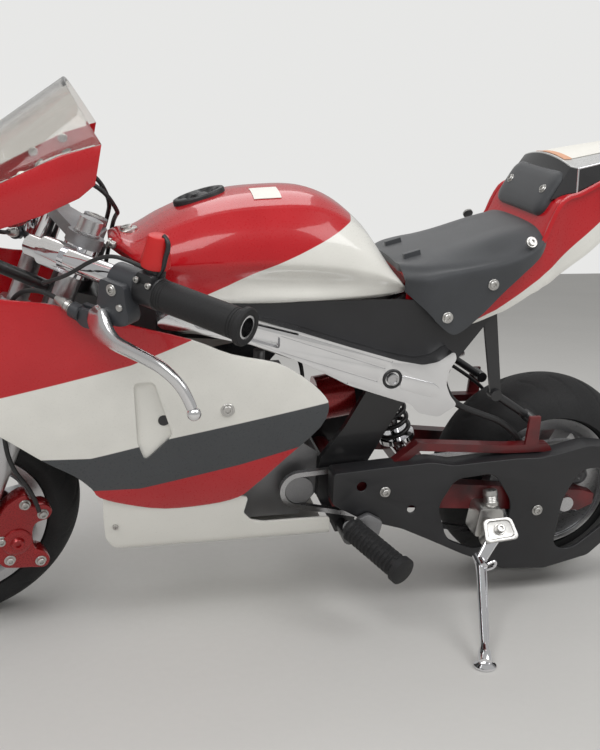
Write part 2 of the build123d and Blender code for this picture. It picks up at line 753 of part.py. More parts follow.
subframe_path = [(524, -75, 300), (536, -75, 345), (620, -72, 412), (700, -50, 450), (745, -36, 480)]
subframe = bent_tube(subframe_path, 9, 25)
subframe += mirrored(subframe)
subframe += rod((740, -42, 478), (740, 42, 478), 8)
subframe += cross_rod(620, 412, 6, -84.5, 84.5)
link_head = (627, 281)
link_stay = side_shape([(596, 398), (612, 406), (634, 284), (622, 276)], link_y - 3, link_y + 1)
link = rod((link_head[0], link_y, link_head[1]), (link_foot[0], link_y, link_foot[1]), 5)
link += cross_rod(*link_head, 7, link_y - 7, link_y + 7)
link += cross_rod(*link_foot, 7, -brace_outer + 4, link_y + 7)
rear_frame = cradle + subframe - pieces["tail_cowl"]
pieces["rear_frame"] = rear_frame
seat_link = link_stay + link - rear_frame - pieces["swingarm"] - pieces["tail_cowl"]
both_sides("seat_link", seat_link)

pad_profile = [
    (500, 436), (560, 450), (615, 466), (662, 484), (668, 496), (650, 492), (600, 482), (545, 466),
    (502, 452),
]
pad_half = [(500, 58), (545, 92), (650, 88), (668, 70)]
pad_corners = [(x, -y) for x, y in pad_half] + [(x, y) for x, y in reversed(pad_half)]
pad_plan = fillet(make_face(Polyline(*pad_corners, close=True)).vertices(), 12)
pad = side_shape(pad_profile, -100, 100) & extrude(Pos(0, 0, 380) * pad_plan, amount=160)
# the pad's crown across the bike, carried along the seat's slope: half width, height
seat_slope = 0.29
crown_half = [(100, 330), (100, 424), (84, 441), (56, 450), (0, 453)]
crown = crown_half + [(-y, z) for y, z in reversed(crown_half[:-1])]
crown_place = Plane(origin=(496, 0, 0), x_dir=(0, 1, 0), z_dir=(1, 0, 0))
crown_run = Vector(1, 0, seat_slope).normalized()
crown_face = crown_place * make_face(Polyline(*crown, close=True))
flap_outline = [
    (502, 446), (504, 410), (543, 374), (558, 370), (606, 401), (654, 450), (650, 480), (600, 478),
    (545, 460),
]
flap = side_shape(flap_outline, -98, -86, corner=4)
pad += flap + mirrored(flap)
pad &= extrude(crown_face, amount=190, dir=crown_run)
pieces["seat_pad"] = pad - cowl - tank

lumbar_slope = radians(60)
lumbar_face = Vector(-sin(lumbar_slope), 0, cos(lumbar_slope))
lumbar_plane = Plane(origin=(681, 0, 514), x_dir=(0, 1, 0), z_dir=lumbar_face)
lumbar = extrude(lumbar_plane * RectangleRounded(118, 56, 12), amount=16)
lumbar += extrude(lumbar_plane * RectangleRounded(118, 56, 12), amount=-8)
pieces["lumbar_pad"] = lumbar - cowl - pieces["seat_pad"]

under_outline = [
    (300, 388), (300, 404), (494, 404), (520, 402), (560, 372), (600, 392), (606, 382), (568, 330),
    (540, 322), (480, 330), (380, 366),
]
under = side_shape(under_outline, -spar_inner, -spar_inner + panel_thickness)
under -= tank
under -= pieces["tail_cowl"]
under -= pieces["seat_pad"]
under -= rear_frame
both_sides("under_seat_cover", under)

# side fairing sections: x, distance from the middle at heights 450, 330, 230 and 160
fairing_rows = [
    (-48, 96, 104, 98, 84), (90, 110, 122, 114, 92), (235, 116, 130, 120, 95), (412, 112, 126, 117, 92),
]
fairing_heights = (450, 330, 230, 160)


def fairing_section(row, beyond=0):
    """A panel's section, or with beyond all that lies outside its inner face."""
    x, *spans = row
    outer = [(-span, height) for span, height in zip(spans, fairing_heights)]
    inner = [(-span + panel_thickness, height) for span, height in zip(spans, fairing_heights)]
    skin = Spline(*outer)
    if beyond:
        outer = [(-beyond, fairing_heights[0]), (-beyond, fairing_heights[-1])]
        skin = Line(*outer)
    place = Plane(origin=(x, 0, 0), x_dir=(0, 1, 0), z_dir=(1, 0, 0))
    return place * make_face(
        [skin, Line(outer[-1], inner[-1]), Spline(*inner[::-1]), Line(inner[0], outer[0])]
    )


fairing_band = loft([fairing_section(row) for row in fairing_rows])
fairing_outline = [
    (-46, 436), (30, 426), (72, 420), (114, 416), (157, 407), (196, 394), (256, 378),
    (298, 361), (346, 350), (374, 334), (404, 310), (406, 286), (398, 271), (362, 236),
    (329, 199), (320, 186), (280, 175), (230, 173), (187, 184), (160, 196), (152, 209), (135, 227),
    (106, 246), (77, 268), (30, 302), (-15, 345), (-42, 392),
]
fairing = fairing_band & side_shape(fairing_outline, -140, -60)
slot = side_shape([(197, 334), (218, 335), (237, 273), (208, 243), (200, 266)], -140, -60, corner=4)
fairing -= slot
pieces["side_fairing_left"] = fairing
pieces["side_fairing_right"] = mirrored(fairing)
fairing_beyond = loft([fairing_section(row, beyond=200) for row in fairing_rows])
down -= fairing_beyond
down -= mirrored(fairing_beyond)

belly_half = [(110, 205), (104, 190), (97, 158), (89, 128), (68, 106)]
belly_outer = belly_half + [(-y, z) for y, z in reversed(belly_half)]
belly_face = make_face(Polyline(*belly_outer, close=True))
belly_inner_half = [(y - panel_thickness, z + panel_thickness * (z < 150)) for y, z in belly_half]
belly_inner = belly_inner_half + [(-y, z) for y, z in reversed(belly_inner_half)]
belly_place = Plane(origin=(158, 0, 0), x_dir=(0, 1, 0), z_dir=(1, 0, 0))
belly_pan = extrude(belly_place * belly_face, amount=290)
belly_pan -= extrude(belly_place * make_face(Polyline(*belly_inner, close=True)), amount=290)
belly_side = [
    (163, 200), (164, 136), (182, 112), (212, 105), (430, 105), (424, 142), (343, 142), (320, 158), (328, 200),
    (280, 188), (230, 186), (190, 197),
]
belly_pan &= side_shape(belly_side, -120, 120)
belly_pan -= pieces["side_fairing_left"]
belly_pan -= pieces["side_fairing_right"]
pieces["belly_pan"] = belly_pan

# nose sections: x, half width below, half width at shoulder, bottom, shoulder, top
nose_rows = [
    (-112, 24, 30, 405, 432, 447),
    (-60, 64, 72, 400, 455, 482),
    (20, 92, 98, 400, 500, 539),
    (100, 108, 112, 400, 542, 596),
    (180, 114, 119, 400, 572, 652),
]
nose = loft([arch_section(*row) for row in nose_rows])
inner_rows = [
    (x + (panel_thickness if x < -100 else 0), wb - panel_thickness, ws - panel_thickness, zb - 10, zs - 2,
     zt - panel_thickness)
    for x, wb, ws, zb, zs, zt in nose_rows
]
inner_rows.append((190, 112, 117, 390, 570, 654))
nose_inside = loft([arch_section(*row) for row in inner_rows])
nose_shell = nose - nose_inside
nose_outline = [
    (-130, 424), (-60, 440), (10, 466), (77, 488), (114, 501), (151, 519), (166, 532), (173, 569),
    (138, 626), (100, 660), (-130, 660),
]
nose_shell &= side_shape(nose_outline, -140, 140)
screen_region = side_shape(
    [(-30, 700), (-30, 478), (20, 502), (80, 531), (135, 558), (173, 569), (220, 600), (220, 700)], -140, 140
)
pieces["upper_fairing"] = nose_shell - screen_region
pieces["windscreen"] = nose_shell & screen_region

stay_height = 452
stay = bent_tube([(124, 0, 398), (60, 0, 428), (10, 0, stay_height), (-40, 0, stay_height)], 7, 30)
stay += rod((-36, -110, stay_height), (-36, 110, stay_height), 5)
stay &= nose_inside
stem_hole = steering * rod((0, 0, head_bottom - 20), (0, 0, head_top + 20), stem_radius + running_clearance)
pieces["front_frame"] = neck + down + stay - stem_hole

# ---- chain cover, pegs, stand -------------------------------------------------------------

cover_outline = [
    (423, 203), (481, 207), (543, 210), (572, 204), (604, 206), (655, 208), (683, 207), (708, 211),
    (747, 220), (790, 214), (820, 190), (826, 150), (806, 98), (770, 64), (710, 50), (650, 56), (590, 84),
    (556, 102), (513, 124), (461, 141), (424, 163),
]
cover_face = make_face(Polyline(*cover_outline, close=True))
cover_inner_face = offset(cover_face, amount=-cover_wall, kind=Kind.INTERSECTION)
skirt_edge = 78
cover = extrude(Plane.XZ.offset(skirt_edge) * cover_face, amount=cover_outer - skirt_edge)
cover -= extrude(Plane.XZ.offset(skirt_edge) * cover_inner_face, amount=cover_outer - skirt_edge - cover_wall)
stand_window = [(556, 150), (575, 186), (625, 190), (652, 150), (650, 104), (612, 86), (572, 104)]
axle_window = [(722, 150), (742, 188), (784, 188), (806, 160), (802, 126), (781, 103), (744, 74), (718, 80)]
cover -= side_shape(stand_window, -120, -60, corner=10)
cover -= side_shape(axle_window, -120, -60, corner=12)
for x in (487, 688):
    z = arm_z + (x - arm_x) * (rear_z - arm_z) / (wheelbase - arm_x)
    cover += cross_rod(x, z, 8, -cover_outer, -arm_outer)
cover -= arm
pieces["chain_cover"] = cover

stand_pivot = Vector(617, -137, 128)
stand_axis = Vector(0, -0.686, 0.728).normalized()
foot_world = (553, -279)
foot_height = 7
stand_bracket = side_shape([(598, 112), (641, 114), (632, 144), (603, 146)], -124, -arm_outer, corner=3)
stand_bracket += rod(stand_pivot - stand_axis * 22, stand_pivot, 11)
stand_bracket += cross_rod(622, 150, 9, -112, -arm_outer)
stand_bracket += rod(stand_pivot, stand_pivot + stand_axis * 14, 5)
pieces["stand_bracket"] = stand_bracket

def turned_right(local):
    """Where a point beside the right bar, given for the left one, comes when the steering is turned."""
    drawn = steering.from_local_coords(Vector(*local))
    swung = Vector(drawn.X, -drawn.Y, drawn.Z) - steer_origin
    return tuple(steer_origin + turn_about(swung, steer_up, steer_angle))


# cables from the right bar over the fork and down behind it, then to the carburettor and the rear brake
cable_gap = 1
throttle_exit = off_bar(157, bar_radius + 9 + cable_gap, 0)
throttle_points = [
    turned_right(throttle_exit), turned_right(throttle_exit + ahead * 16 - bar_dir * 4),
    turned_right(off_bar(126, 50, -6)),
    (63, 66, 469), (70, 44, 508), (100, 26, 534), (140, 18, 536), (170, 14, 522), (184, 20, 494), (181, 46, 472),
    (172, 64, 440), (164, 62, 404), (170, 60, 356), (222, 60, 328), (300, 52, 322), (362, 34, 326),
    (396, 14, 318), (408, 2, 296), (408, 0, 261),
]
rear_brake_points = [
    turned_right(barrel_end + barrel_run * cable_gap), turned_right(barrel_end + barrel_run * 24),
    (42, 44, 468), (58, 28, 500), (96, 10, 522), (142, 0, 526), (176, -2, 510), (192, 6, 484), (190, 34, 476),
    (187, 60, 462), (182, 74, 430), (176, 76, 400), (184, 76, 352), (228, 76, 338), (300, 72, 340), (380, 64, 344),
    (450, 60, 344), (514, 60, 336), (566, 60, 310), (612, 62, 280), (656, 63, 252),
    (wheelbase - 44, 63, 228), (wheelbase - 38, 63, 206),
]
throttle_cable = cable(throttle_points, cable_radius, widest_bends(throttle_points, 12))
rear_brake_cable = cable(rear_brake_points, cable_radius, widest_bends(rear_brake_points, 12))
pieces["throttle_cable"] = throttle_cable - pieces["engine"]
pieces["rear_brake_cable"] = rear_brake_cable - pieces["rear_caliper"]

# a hose hangs from the seat tubes between the chain and its cover
hose_points = [
    (553, -73, 349), (554, -73, 322), (562, -73, 291), (577, -73, 270), (611, -73, 256), (640, -73, 245),
    (667, -73, 222), (680, -73, 194), (682, -73, 172),
]
hose = cable(hose_points, hose_radius, widest_bends(hose_points, 20))
pieces["breather_hose"] = hose - pieces["rear_frame"] - pieces["swingarm"] - pieces["seat_link_left"]

# ---- park the bike: turn the steering, lean it over, stand it on the ground ----------------

steering_names = [
    "fork_leg_left", "fork_leg_right", "lower_fork_clamp", "upper_fork_clamp", "front_axle",
    "front_caliper", "handlebar_left", "handlebar_right", "grip_left", "grip_right",
    "lever_perch_left", "lever_perch_right", "brake_lever_left", "brake_lever_right",
    "kill_switch", "throttle_housing", "front_brake_cable", "kill_switch_lead",
]
front_wheel_names = ["front_tyre", "front_rim", "front_brake_disc"]
steer_axis = Axis(steer_origin, steer_up)
for name in steering_names + front_wheel_names:
    pieces[name] = pieces[name].rotate(steer_axis, steer_angle)


def leaned(vector, pitch=0.0):
    rolled = turn_about(vector, Vector(1, 0, 0), lean_angle)
    return turn_about(rolled, Vector(0, 1, 0), pitch)


def lowest(centre, axle_direction, radius, crown, pitch):
    """Height of a leaned tyre's lowest point over the drawing's origin."""
    direction = leaned(axle_direction, pitch)
    reach = (radius - crown) * sqrt(1 - direction.Z ** 2) + crown
    return leaned(centre, pitch).Z - reach


turned_axle = turn_about(Vector(0, 1, 0), steer_up, steer_angle)
turned_centre = steer_origin + turn_about(Vector(*front_axle) - steer_origin, steer_up, steer_angle)
pitch_angle = 0.0
for step in range(6):
    front_low = lowest(turned_centre, turned_axle, front_tyre_radius, front_crown, pitch_angle)
    rear_low = lowest(Vector(*rear_axle), Vector(0, 1, 0), rear_tyre_radius, rear_crown, pitch_angle)
    pitch_angle += degrees((rear_low - front_low) / wheelbase)
ground_rise = -lowest(Vector(*rear_axle), Vector(0, 1, 0), rear_tyre_radius, rear_crown, pitch_angle)


def parked(shape):
    rolled = shape.rotate(Axis.X, lean_angle)
    return rolled.rotate(Axis.Y, pitch_angle).translate((0, 0, ground_rise))


def parked_point(vector):
    return leaned(vector, pitch_angle) + Vector(0, 0, ground_rise)


def drawn_point(point):
    """Where a point on the ground of the parked bike lies in the upright drawing."""
    level = turn_about(point - Vector(0, 0, ground_rise), Vector(0, 1, 0), -pitch_angle)
    return turn_about(level, Vector(1, 0, 0), -lean_angle)


stand_foot = drawn_point(Vector(foot_world[0], foot_world[1], foot_height))
foot_middle = drawn_point(Vector(foot_world[0], foot_world[1], foot_height))
stand_clear = 0.4
leg_start = stand_pivot + stand_axis * (stand_clear + 8)
leg_joint = Vector(592, -158, 104)
stand_leg = rod(stand_pivot + stand_axis * stand_clear, stand_pivot + stand_axis * 9, 12)
stand_leg += rod(leg_start, leg_joint, 4.5)
stand_leg += cross_rod(leg_joint.X, leg_joint.Z, 7, leg_joint.Y - 9, leg_joint.Y + 8)
stand_leg += rod(leg_joint, foot_middle, 6)
stand_leg -= rod(stand_pivot - stand_axis * 5, stand_pivot + stand_axis * 20, 5 + running_clearance)
foot_sole = drawn_point(Vector(foot_world[0], foot_world[1], 0))
stand_leg += rod(foot_sole, stand_foot, 13)
pieces["stand_leg"] = stand_leg
for name in list(pieces):
    pieces[name] = parked(pieces[name])

boxes = [shape.bounding_box() for shape in pieces.values()]
low = Vector(min(b.min.X for b in boxes), min(b.min.Y for b in boxes), min(b.min.Z for b in boxes))
high = Vector(max(b.max.X for b in boxes), max(b.max.Y for b in boxes), max(b.max.Z for b in boxes))
shift = Vector(-(low.X + high.X) / 2, -(low.Y + high.Y) / 2, -low.Z)

for name, shape in pieces.items():
    solids = shape.solids()
    biggest = max(solids, key=lambda solid: solid.volume)
    loose = len(solids) - 1
    if loose:
        print(name, "has", loose, "loose solids:", [round(s.volume) for s in solids])
    placed = biggest.translate(shift)
    placed.label = name
    export_step(placed, f"parts/{name}.step")

print("pieces", len(pieces), "size", high - low, "shift", shift)
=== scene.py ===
import json
import math

import bpy
from mathutils import Matrix, Vector


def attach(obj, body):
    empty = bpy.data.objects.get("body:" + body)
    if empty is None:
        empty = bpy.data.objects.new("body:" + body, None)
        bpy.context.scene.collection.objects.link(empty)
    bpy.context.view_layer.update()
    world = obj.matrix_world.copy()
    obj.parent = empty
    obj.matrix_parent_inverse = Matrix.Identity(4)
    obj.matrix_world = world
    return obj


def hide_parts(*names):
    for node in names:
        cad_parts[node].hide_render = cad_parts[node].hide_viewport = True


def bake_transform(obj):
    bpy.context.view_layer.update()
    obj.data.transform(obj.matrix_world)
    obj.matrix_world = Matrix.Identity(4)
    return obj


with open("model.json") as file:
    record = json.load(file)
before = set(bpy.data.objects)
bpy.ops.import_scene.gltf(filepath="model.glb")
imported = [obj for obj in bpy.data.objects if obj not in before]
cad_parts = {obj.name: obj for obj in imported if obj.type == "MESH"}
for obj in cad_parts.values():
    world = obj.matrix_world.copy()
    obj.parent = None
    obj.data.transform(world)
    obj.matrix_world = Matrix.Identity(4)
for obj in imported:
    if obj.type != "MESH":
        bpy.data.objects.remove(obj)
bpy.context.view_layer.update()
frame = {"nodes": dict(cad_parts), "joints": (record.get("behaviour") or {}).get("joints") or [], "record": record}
cadNodes = frame["nodes"]
joints = {joint["name"]: joint for joint in frame["joints"]}
scene = bpy.context.scene
scene.view_settings.view_transform = "Standard"

# The pieces are drawn in millimetres on the upright bike, front axle over x = 0 and left side
# towards -y, and then parked: leaned on the stand, with the steering on its left stop.
mm = 0.001
bike = {"lean": 10.5, "steer": 16.5, "pitch": -0.0377, "wheelbase": 730, "axleHeight": 138}
steeredBodies = ("steering", "front_wheel")


def turnBy(degrees, axis):
    return Matrix.Rotation(math.radians(degrees), 4, axis)


drawnAxle = Vector((bike["wheelbase"], 0, bike["axleHeight"])) * mm
rearAxle = Vector(joints["rear_wheel_spin"]["pos_m"])
leanTurn = turnBy(bike["pitch"], "Y") @ turnBy(bike["lean"], "X")
parkMatrix = Matrix.Translation(rearAxle) @ leanTurn @ Matrix.Translation(-drawnAxle)
steerPoint = Vector(joints["steering_turn"]["pos_m"])
steerTurn = turnBy(bike["steer"], Vector(joints["steering_turn"]["axis"]))
steerMatrix = Matrix.Translation(steerPoint) @ steerTurn @ Matrix.Translation(-steerPoint) @ parkMatrix
bikeFromRow = parkMatrix.inverted()


def selectOnly(obj):
    bpy.ops.object.select_all(action="DESELECT")
    obj.select_set(True)
    bpy.context.view_layer.objects.active = obj


def addModifier(obj, kind, **settings):
    selectOnly(obj)
    bpy.ops.object.modifier_add(type=kind)
    modifier = obj.modifiers[-1]
    for key, value in settings.items():
        setattr(modifier, key, value)
    bpy.ops.object.modifier_apply(modifier=modifier.name)
    return obj


def tidyNormals(obj, closeEnds=False, mergeGap=0.02):
    selectOnly(obj)
    bpy.ops.object.mode_set(mode="EDIT")
    bpy.ops.mesh.select_all(action="SELECT")
    bpy.ops.mesh.remove_doubles(threshold=mergeGap * mm)
    if closeEnds:
        bpy.ops.mesh.fill_holes(sides=0)
        bpy.ops.mesh.select_all(action="SELECT")
    bpy.ops.mesh.normals_make_consistent(inside=False)
    bpy.ops.object.mode_set(mode="OBJECT")
    return obj


def joinPieces(pieces):
    bpy.ops.object.select_all(action="DESELECT")
    for obj in pieces:
        obj.select_set(True)
    bpy.context.view_layer.objects.active = pieces[0]
    bpy.ops.object.join()
    return pieces[0]


def mirrorPiece(obj):
    selectOnly(obj)
    bpy.ops.object.duplicate()
    twin = bpy.context.object
    twin.data.transform(Matrix.Scale(-1, 4, (0, 1, 0)))
    return tidyNormals(twin)


# parks a drawn piece, gives it its look and its body, and hides the CAD node that it stands for
def finishPiece(obj, name, look, slotName, body="frame", smooth=35, node=None):
    obj.name = name
    obj.data.name = name
    obj.data.transform(steerMatrix if body in steeredBodies else parkMatrix)
    selectOnly(obj)
    if smooth:
        bpy.ops.object.shade_smooth_by_angle(angle=math.radians(smooth))
    obj.data.materials.clear()
    obj.data.materials.append(finishes[look])
    if body:
        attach(obj, body)
    if node:
        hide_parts(node)


# the same for a left piece and its mirrored twin; node is the CAD name before its side
def finishPair(obj, leftName, rightName, look, slotName, node=None, **more):
    twin = mirrorPiece(obj)
    for piece, name, side in ((obj, leftName, "left"), (twin, rightName, "right")):
        finishPiece(piece, name, look, slotName, node=node + side if node else None, **more)


# Everything below is in millimetres until a mesh takes it.
def setPoints(obj, points):
    for vertex, point in zip(obj.data.vertices, points):
        vertex.co = Vector(point) * mm


def skinPiece(rows, around=False, closeEnds=False):
    if around:
        rows = [list(row) + [row[0]] for row in rows]
    bpy.ops.mesh.primitive_grid_add(x_subdivisions=len(rows[0]) - 1, y_subdivisions=len(rows) - 1, size=1)
    obj = bpy.context.object
    setPoints(obj, [point for row in rows for point in row])
    return tidyNormals(obj, closeEnds)


def platePiece(outline, yFrom, yTill, corner=0, edge=0, cornerSteps=4):
    bpy.ops.mesh.primitive_circle_add(vertices=len(outline), fill_type="NGON")
    obj = bpy.context.object
    setPoints(obj, [(x, yFrom, z) for x, z in outline])
    if corner:
        addModifier(
            obj, "BEVEL", affect="VERTICES", width=corner * mm, segments=cornerSteps, limit_method="NONE",
        )
    selectOnly(obj)
    bpy.ops.object.mode_set(mode="EDIT")
    bpy.ops.mesh.select_all(action="SELECT")
    bpy.ops.mesh.extrude_region_move(TRANSFORM_OT_translate={"value": (0, (yTill - yFrom) * mm, 0)})
    bpy.ops.object.mode_set(mode="OBJECT")
    tidyNormals(obj)
    if edge:
        softenEdges(obj, edge)
    return obj


def giveWall(obj, wall, inwards=False):
    return addModifier(obj, "SOLIDIFY", thickness=wall * mm, offset=-1 if inwards else 0)


def cutAway(obj, cutter, operation="DIFFERENCE"):
    addModifier(obj, "BOOLEAN", object=cutter, operation=operation, solver="EXACT")
    bpy.data.objects.remove(cutter)


# cuts an outline, seen from the side, out of a piece, or keeps only what is inside it
def cutOutline(obj, outline, yFrom, yTill, corner=0, keepInside=False):
    cutAway(obj, platePiece(outline, yFrom, yTill, corner), "INTERSECT" if keepInside else "DIFFERENCE")


def softenEdges(obj, width, segments=2, angle=40):
    addModifier(
        obj, "BEVEL", width=width * mm, segments=segments, limit_method="ANGLE",
        angle_limit=math.radians(angle), use_clamp_overlap=True, miter_outer="MITER_ARC",
    )


def turnTo(direction):
    return Vector((0, 0, 1)).rotation_difference(Vector(direction)).to_matrix().to_4x4()


def ringAngles(count):
    return [2 * math.pi * step / count for step in range(count)]


def turnedPiece(start, direction, profile, count=48):
    place = Matrix.Translation(Vector(start)) @ turnTo(direction)
    return skinPiece([
        [place @ Vector((radius * math.cos(a), radius * math.sin(a), along)) for a in ringAngles(count)]
        for along, radius in profile
    ], around=True, closeEnds=True)


def rodPiece(start, end, radius, edge, count=40):
    length = (Vector(end) - Vector(start)).length
    profile = [(0, radius - edge), (edge, radius), (length - edge, radius), (length, radius - edge)]
    return turnedPiece(start, Vector(end) - Vector(start), profile, count)


def tubePiece(points, radius, resolution, alongSteps=12):
    curve = bpy.data.curves.new("tube", "CURVE")
    curve.dimensions = "3D"
    spline = curve.splines.new("NURBS")
    spline.points.add(len(points) - 1)
    for spot, point in zip(spline.points, points):
        spot.co = (*(Vector(point) * mm), 1)
    spline.order_u = 3
    spline.use_endpoint_u = True
    curve.resolution_u = alongSteps
    curve.bevel_depth = radius * mm
    curve.bevel_resolution = resolution
    curve.use_fill_caps = True
    obj = bpy.data.objects.new("tube", curve)
    scene.collection.objects.link(obj)
    selectOnly(obj)
    bpy.ops.object.convert(target="MESH")
    return tidyNormals(bpy.context.object)


def placePiece(obj, matrix):
    scaled = matrix.copy()
    scaled.translation = scaled.translation * mm
    obj.data.transform(scaled)
    return tidyNormals(obj)


# a button-headed bolt with a socket in its head
def boltPiece(place, direction, radius, height, count=28):
    return turnedPiece(place, direction, [
        (-1.5, radius), (0.8, radius), (1.2, radius * 0.94), (1.2, radius * 0.74),
        (height - 0.6, radius * 0.72), (height, radius * 0.62), (height, radius * 0.38),
        (height - 2, radius * 0.34), (height - 2, 0.01),
    ], count)


# a flat bar along its stations: x, y, z, half width and half thickness
def bladePiece(stations, thickWay, count, squareness):
    def squared(value):
        return math.copysign(abs(value) ** (2 / squareness), value)

    rows = []
    for index, (x, y, z, wide, thick) in enumerate(stations):
        before, after = stations[max(index - 1, 0)][:3], stations[min(index + 1, len(stations) - 1)][:3]
        run = (Vector(after) - Vector(before)).normalized()
        across = run.cross(Vector(thickWay)).normalized()
        deep = across.cross(run).normalized()
        rows.append([
            Vector((x, y, z)) + across * wide * squared(math.cos(a)) + deep * thick * squared(math.sin(a))
            for a in ringAngles(count)
        ])
    return skinPiece(rows, around=True, closeEnds=True)


# a smooth value between the rows of a table, for each column after the first
def tableAt(rows, x):
    xs = [row[0] for row in rows]
    x = min(max(x, xs[0]), xs[-1])
    step = max(i for i in range(len(rows) - 1) if xs[i] <= x or i == 0)
    gap = xs[step + 1] - xs[step]
    t = (x - xs[step]) / gap
    values = []
    for column in range(1, len(rows[0])):
        ys = [row[column] for row in rows]

        def slope(i):
            low, high = max(i - 1, 0), min(i + 1, len(rows) - 1)
            return (ys[high] - ys[low]) / (xs[high] - xs[low])

        h00, h10 = 2 * t ** 3 - 3 * t ** 2 + 1, t ** 3 - 2 * t ** 2 + t
        h01, h11 = -2 * t ** 3 + 3 * t ** 2, t ** 3 - t ** 2
        low, high = ys[step], ys[step + 1]
        values.append(h00 * low + h10 * gap * slope(step) + h01 * high + h11 * gap * slope(step + 1))
    return values


# more points on a smooth line through the given ones
def flowing(points, steps, closed=False):
    count = len(points)
    spots = []
    for i in range(count if closed else count - 1):
        if closed:
            a, b, c, d = (Vector(points[(i + k) % count]) for k in (-1, 0, 1, 2))
        else:
            a, b = Vector(points[max(i - 1, 0)]), Vector(points[i])
            c, d = Vector(points[i + 1]), Vector(points[min(i + 2, count - 1)])
        bend, twist = 2 * a - 5 * b + 4 * c - d, 3 * b - a - 3 * c + d
        for step in range(steps):
            t = step / steps
            spots.append(tuple(0.5 * (2 * b + (c - a) * t + bend * t ** 2 + twist * t ** 3)))
    if not closed:
        spots.append(tuple(points[-1]))
    return spots


def between(low, high, count):
    return [low + (high - low) * step / (count - 1) for step in range(count)]


# a panel over the bike from one side to the other, from its left half's line at each x
def shellPiece(halfOf, piece):
    rows = []
    for x in between(*piece["span"]):
        half = flowing(halfOf(x), piece["smoothing"])
        rows.append([(x, -y, z) for y, z in half] + [(x, y, z) for y, z in reversed(half[:-1])])
    return giveWall(skinPiece(rows), piece["wall"], inwards=True)


def addNode(finish, kind, values=None, **settings):
    node = finish.node_tree.nodes.new("ShaderNode" + kind)
    for key, value in settings.items():
        setattr(node, key, value)
    for key, value in (values or {}).items():
        node.inputs[key].default_value = value
    return node


def wire(finish, source, target):
    finish.node_tree.links.new(source, target)


def mixColours(finish, factor, first, second):
    mix = addNode(finish, "Mix", data_type="RGBA")
    wire(finish, factor, mix.inputs[0])
    for socket, value in ((mix.inputs[6], first), (mix.inputs[7], second)):
        if isinstance(value, bpy.types.NodeSocket):
            wire(finish, value, socket)
        else:
            socket.default_value = (*value, 1)
    return mix.outputs[2]


# how the two noises of a finish are used: grain for gloss and bump, patches for the colour
noise = {
    "grain": {"Detail": 4, "Roughness": 0.6}, "grainSpan": (0.3, 0.7), "glossSpan": (0.8, 1.25),
    "patches": {"Detail": 3, "Roughness": 0.55}, "patchSpan": (0.35, 0.7), "patchScale": 14,
    "spread": 0.12, "saturation": 1.02, "bumpDepth": 0.5, "coatRoughness": 0.05,
}
lookSockets = {  # the key in a look, and the value where the look doesn't say
    "Metallic": ("metal", 0), "Coat Weight": ("coat", 0), "Specular IOR Level": ("specular", 0.5),
    "Anisotropic": ("drawn", 0), "Sheen Weight": ("sheen", 0), "Transmission Weight": ("clear", 0),
    "IOR": ("ior", 1.5),
}


def addNoise(finish, place, scale, settings):
    node = addNode(finish, "TexNoise", {"Scale": scale, **settings})
    wire(finish, place, node.inputs["Vector"])
    return node.outputs["Fac"]


def spanNode(finish, value, fromLow, fromHigh, toLow=0, toHigh=1):
    node = addNode(finish, "MapRange", {
        "From Min": fromLow, "From Max": fromHigh, "To Min": toLow, "To Max": toHigh,
    })
    wire(finish, value, node.inputs["Value"])
    return node.outputs["Result"]


def makeFinish(name, look, colourBy=None):
    finish = bpy.data.materials.new(name)
    finish.use_nodes = True
    surface = finish.node_tree.nodes["Principled BSDF"]
    place = grainPlace = addNode(finish, "TexCoord").outputs["Object"]
    if "stretch" in look:
        drawn = addNode(finish, "Mapping", {"Scale": look["stretch"]})
        wire(finish, place, drawn.inputs["Vector"])
        grainPlace = drawn.outputs["Vector"]
    grain = addNoise(finish, grainPlace, look["grain"], noise["grain"])
    patches = addNoise(finish, place, look.get("patches", noise["patchScale"]), noise["patches"])
    share = spanNode(finish, patches, *noise["patchSpan"])
    spread = look.get("spread", noise["spread"])
    if colourBy:
        base = colourBy(finish, place)
        shaded = addNode(finish, "HueSaturation", {"Value": 1 - spread, "Saturation": noise["saturation"]})
        wire(finish, base, shaded.inputs["Color"])
        colour = mixColours(finish, share, base, shaded.outputs["Color"])
    else:
        dark = tuple(part * (1 - spread) for part in look["colour"])
        colour = mixColours(finish, share, look["colour"], look.get("second", dark))
    wire(finish, colour, surface.inputs["Base Color"])
    smoothest, roughest = (look["rough"] * part for part in noise["glossSpan"])
    roughness = spanNode(finish, grain, *noise["grainSpan"], smoothest, min(1, roughest))
    wire(finish, roughness, surface.inputs["Roughness"])
    depth = look.get("deep", noise["bumpDepth"]) * mm
    bump = addNode(finish, "Bump", {"Strength": look["bump"], "Distance": depth})
    wire(finish, grain, bump.inputs["Height"])
    wire(finish, bump.outputs["Normal"], surface.inputs["Normal"])
    surface.inputs["Coat Roughness"].default_value = noise["coatRoughness"]
    for socket, (key, usual) in lookSockets.items():
        surface.inputs[socket].default_value = look.get(key, usual)
    finish.diffuse_color = (*look["colour"], 1)
    return finish


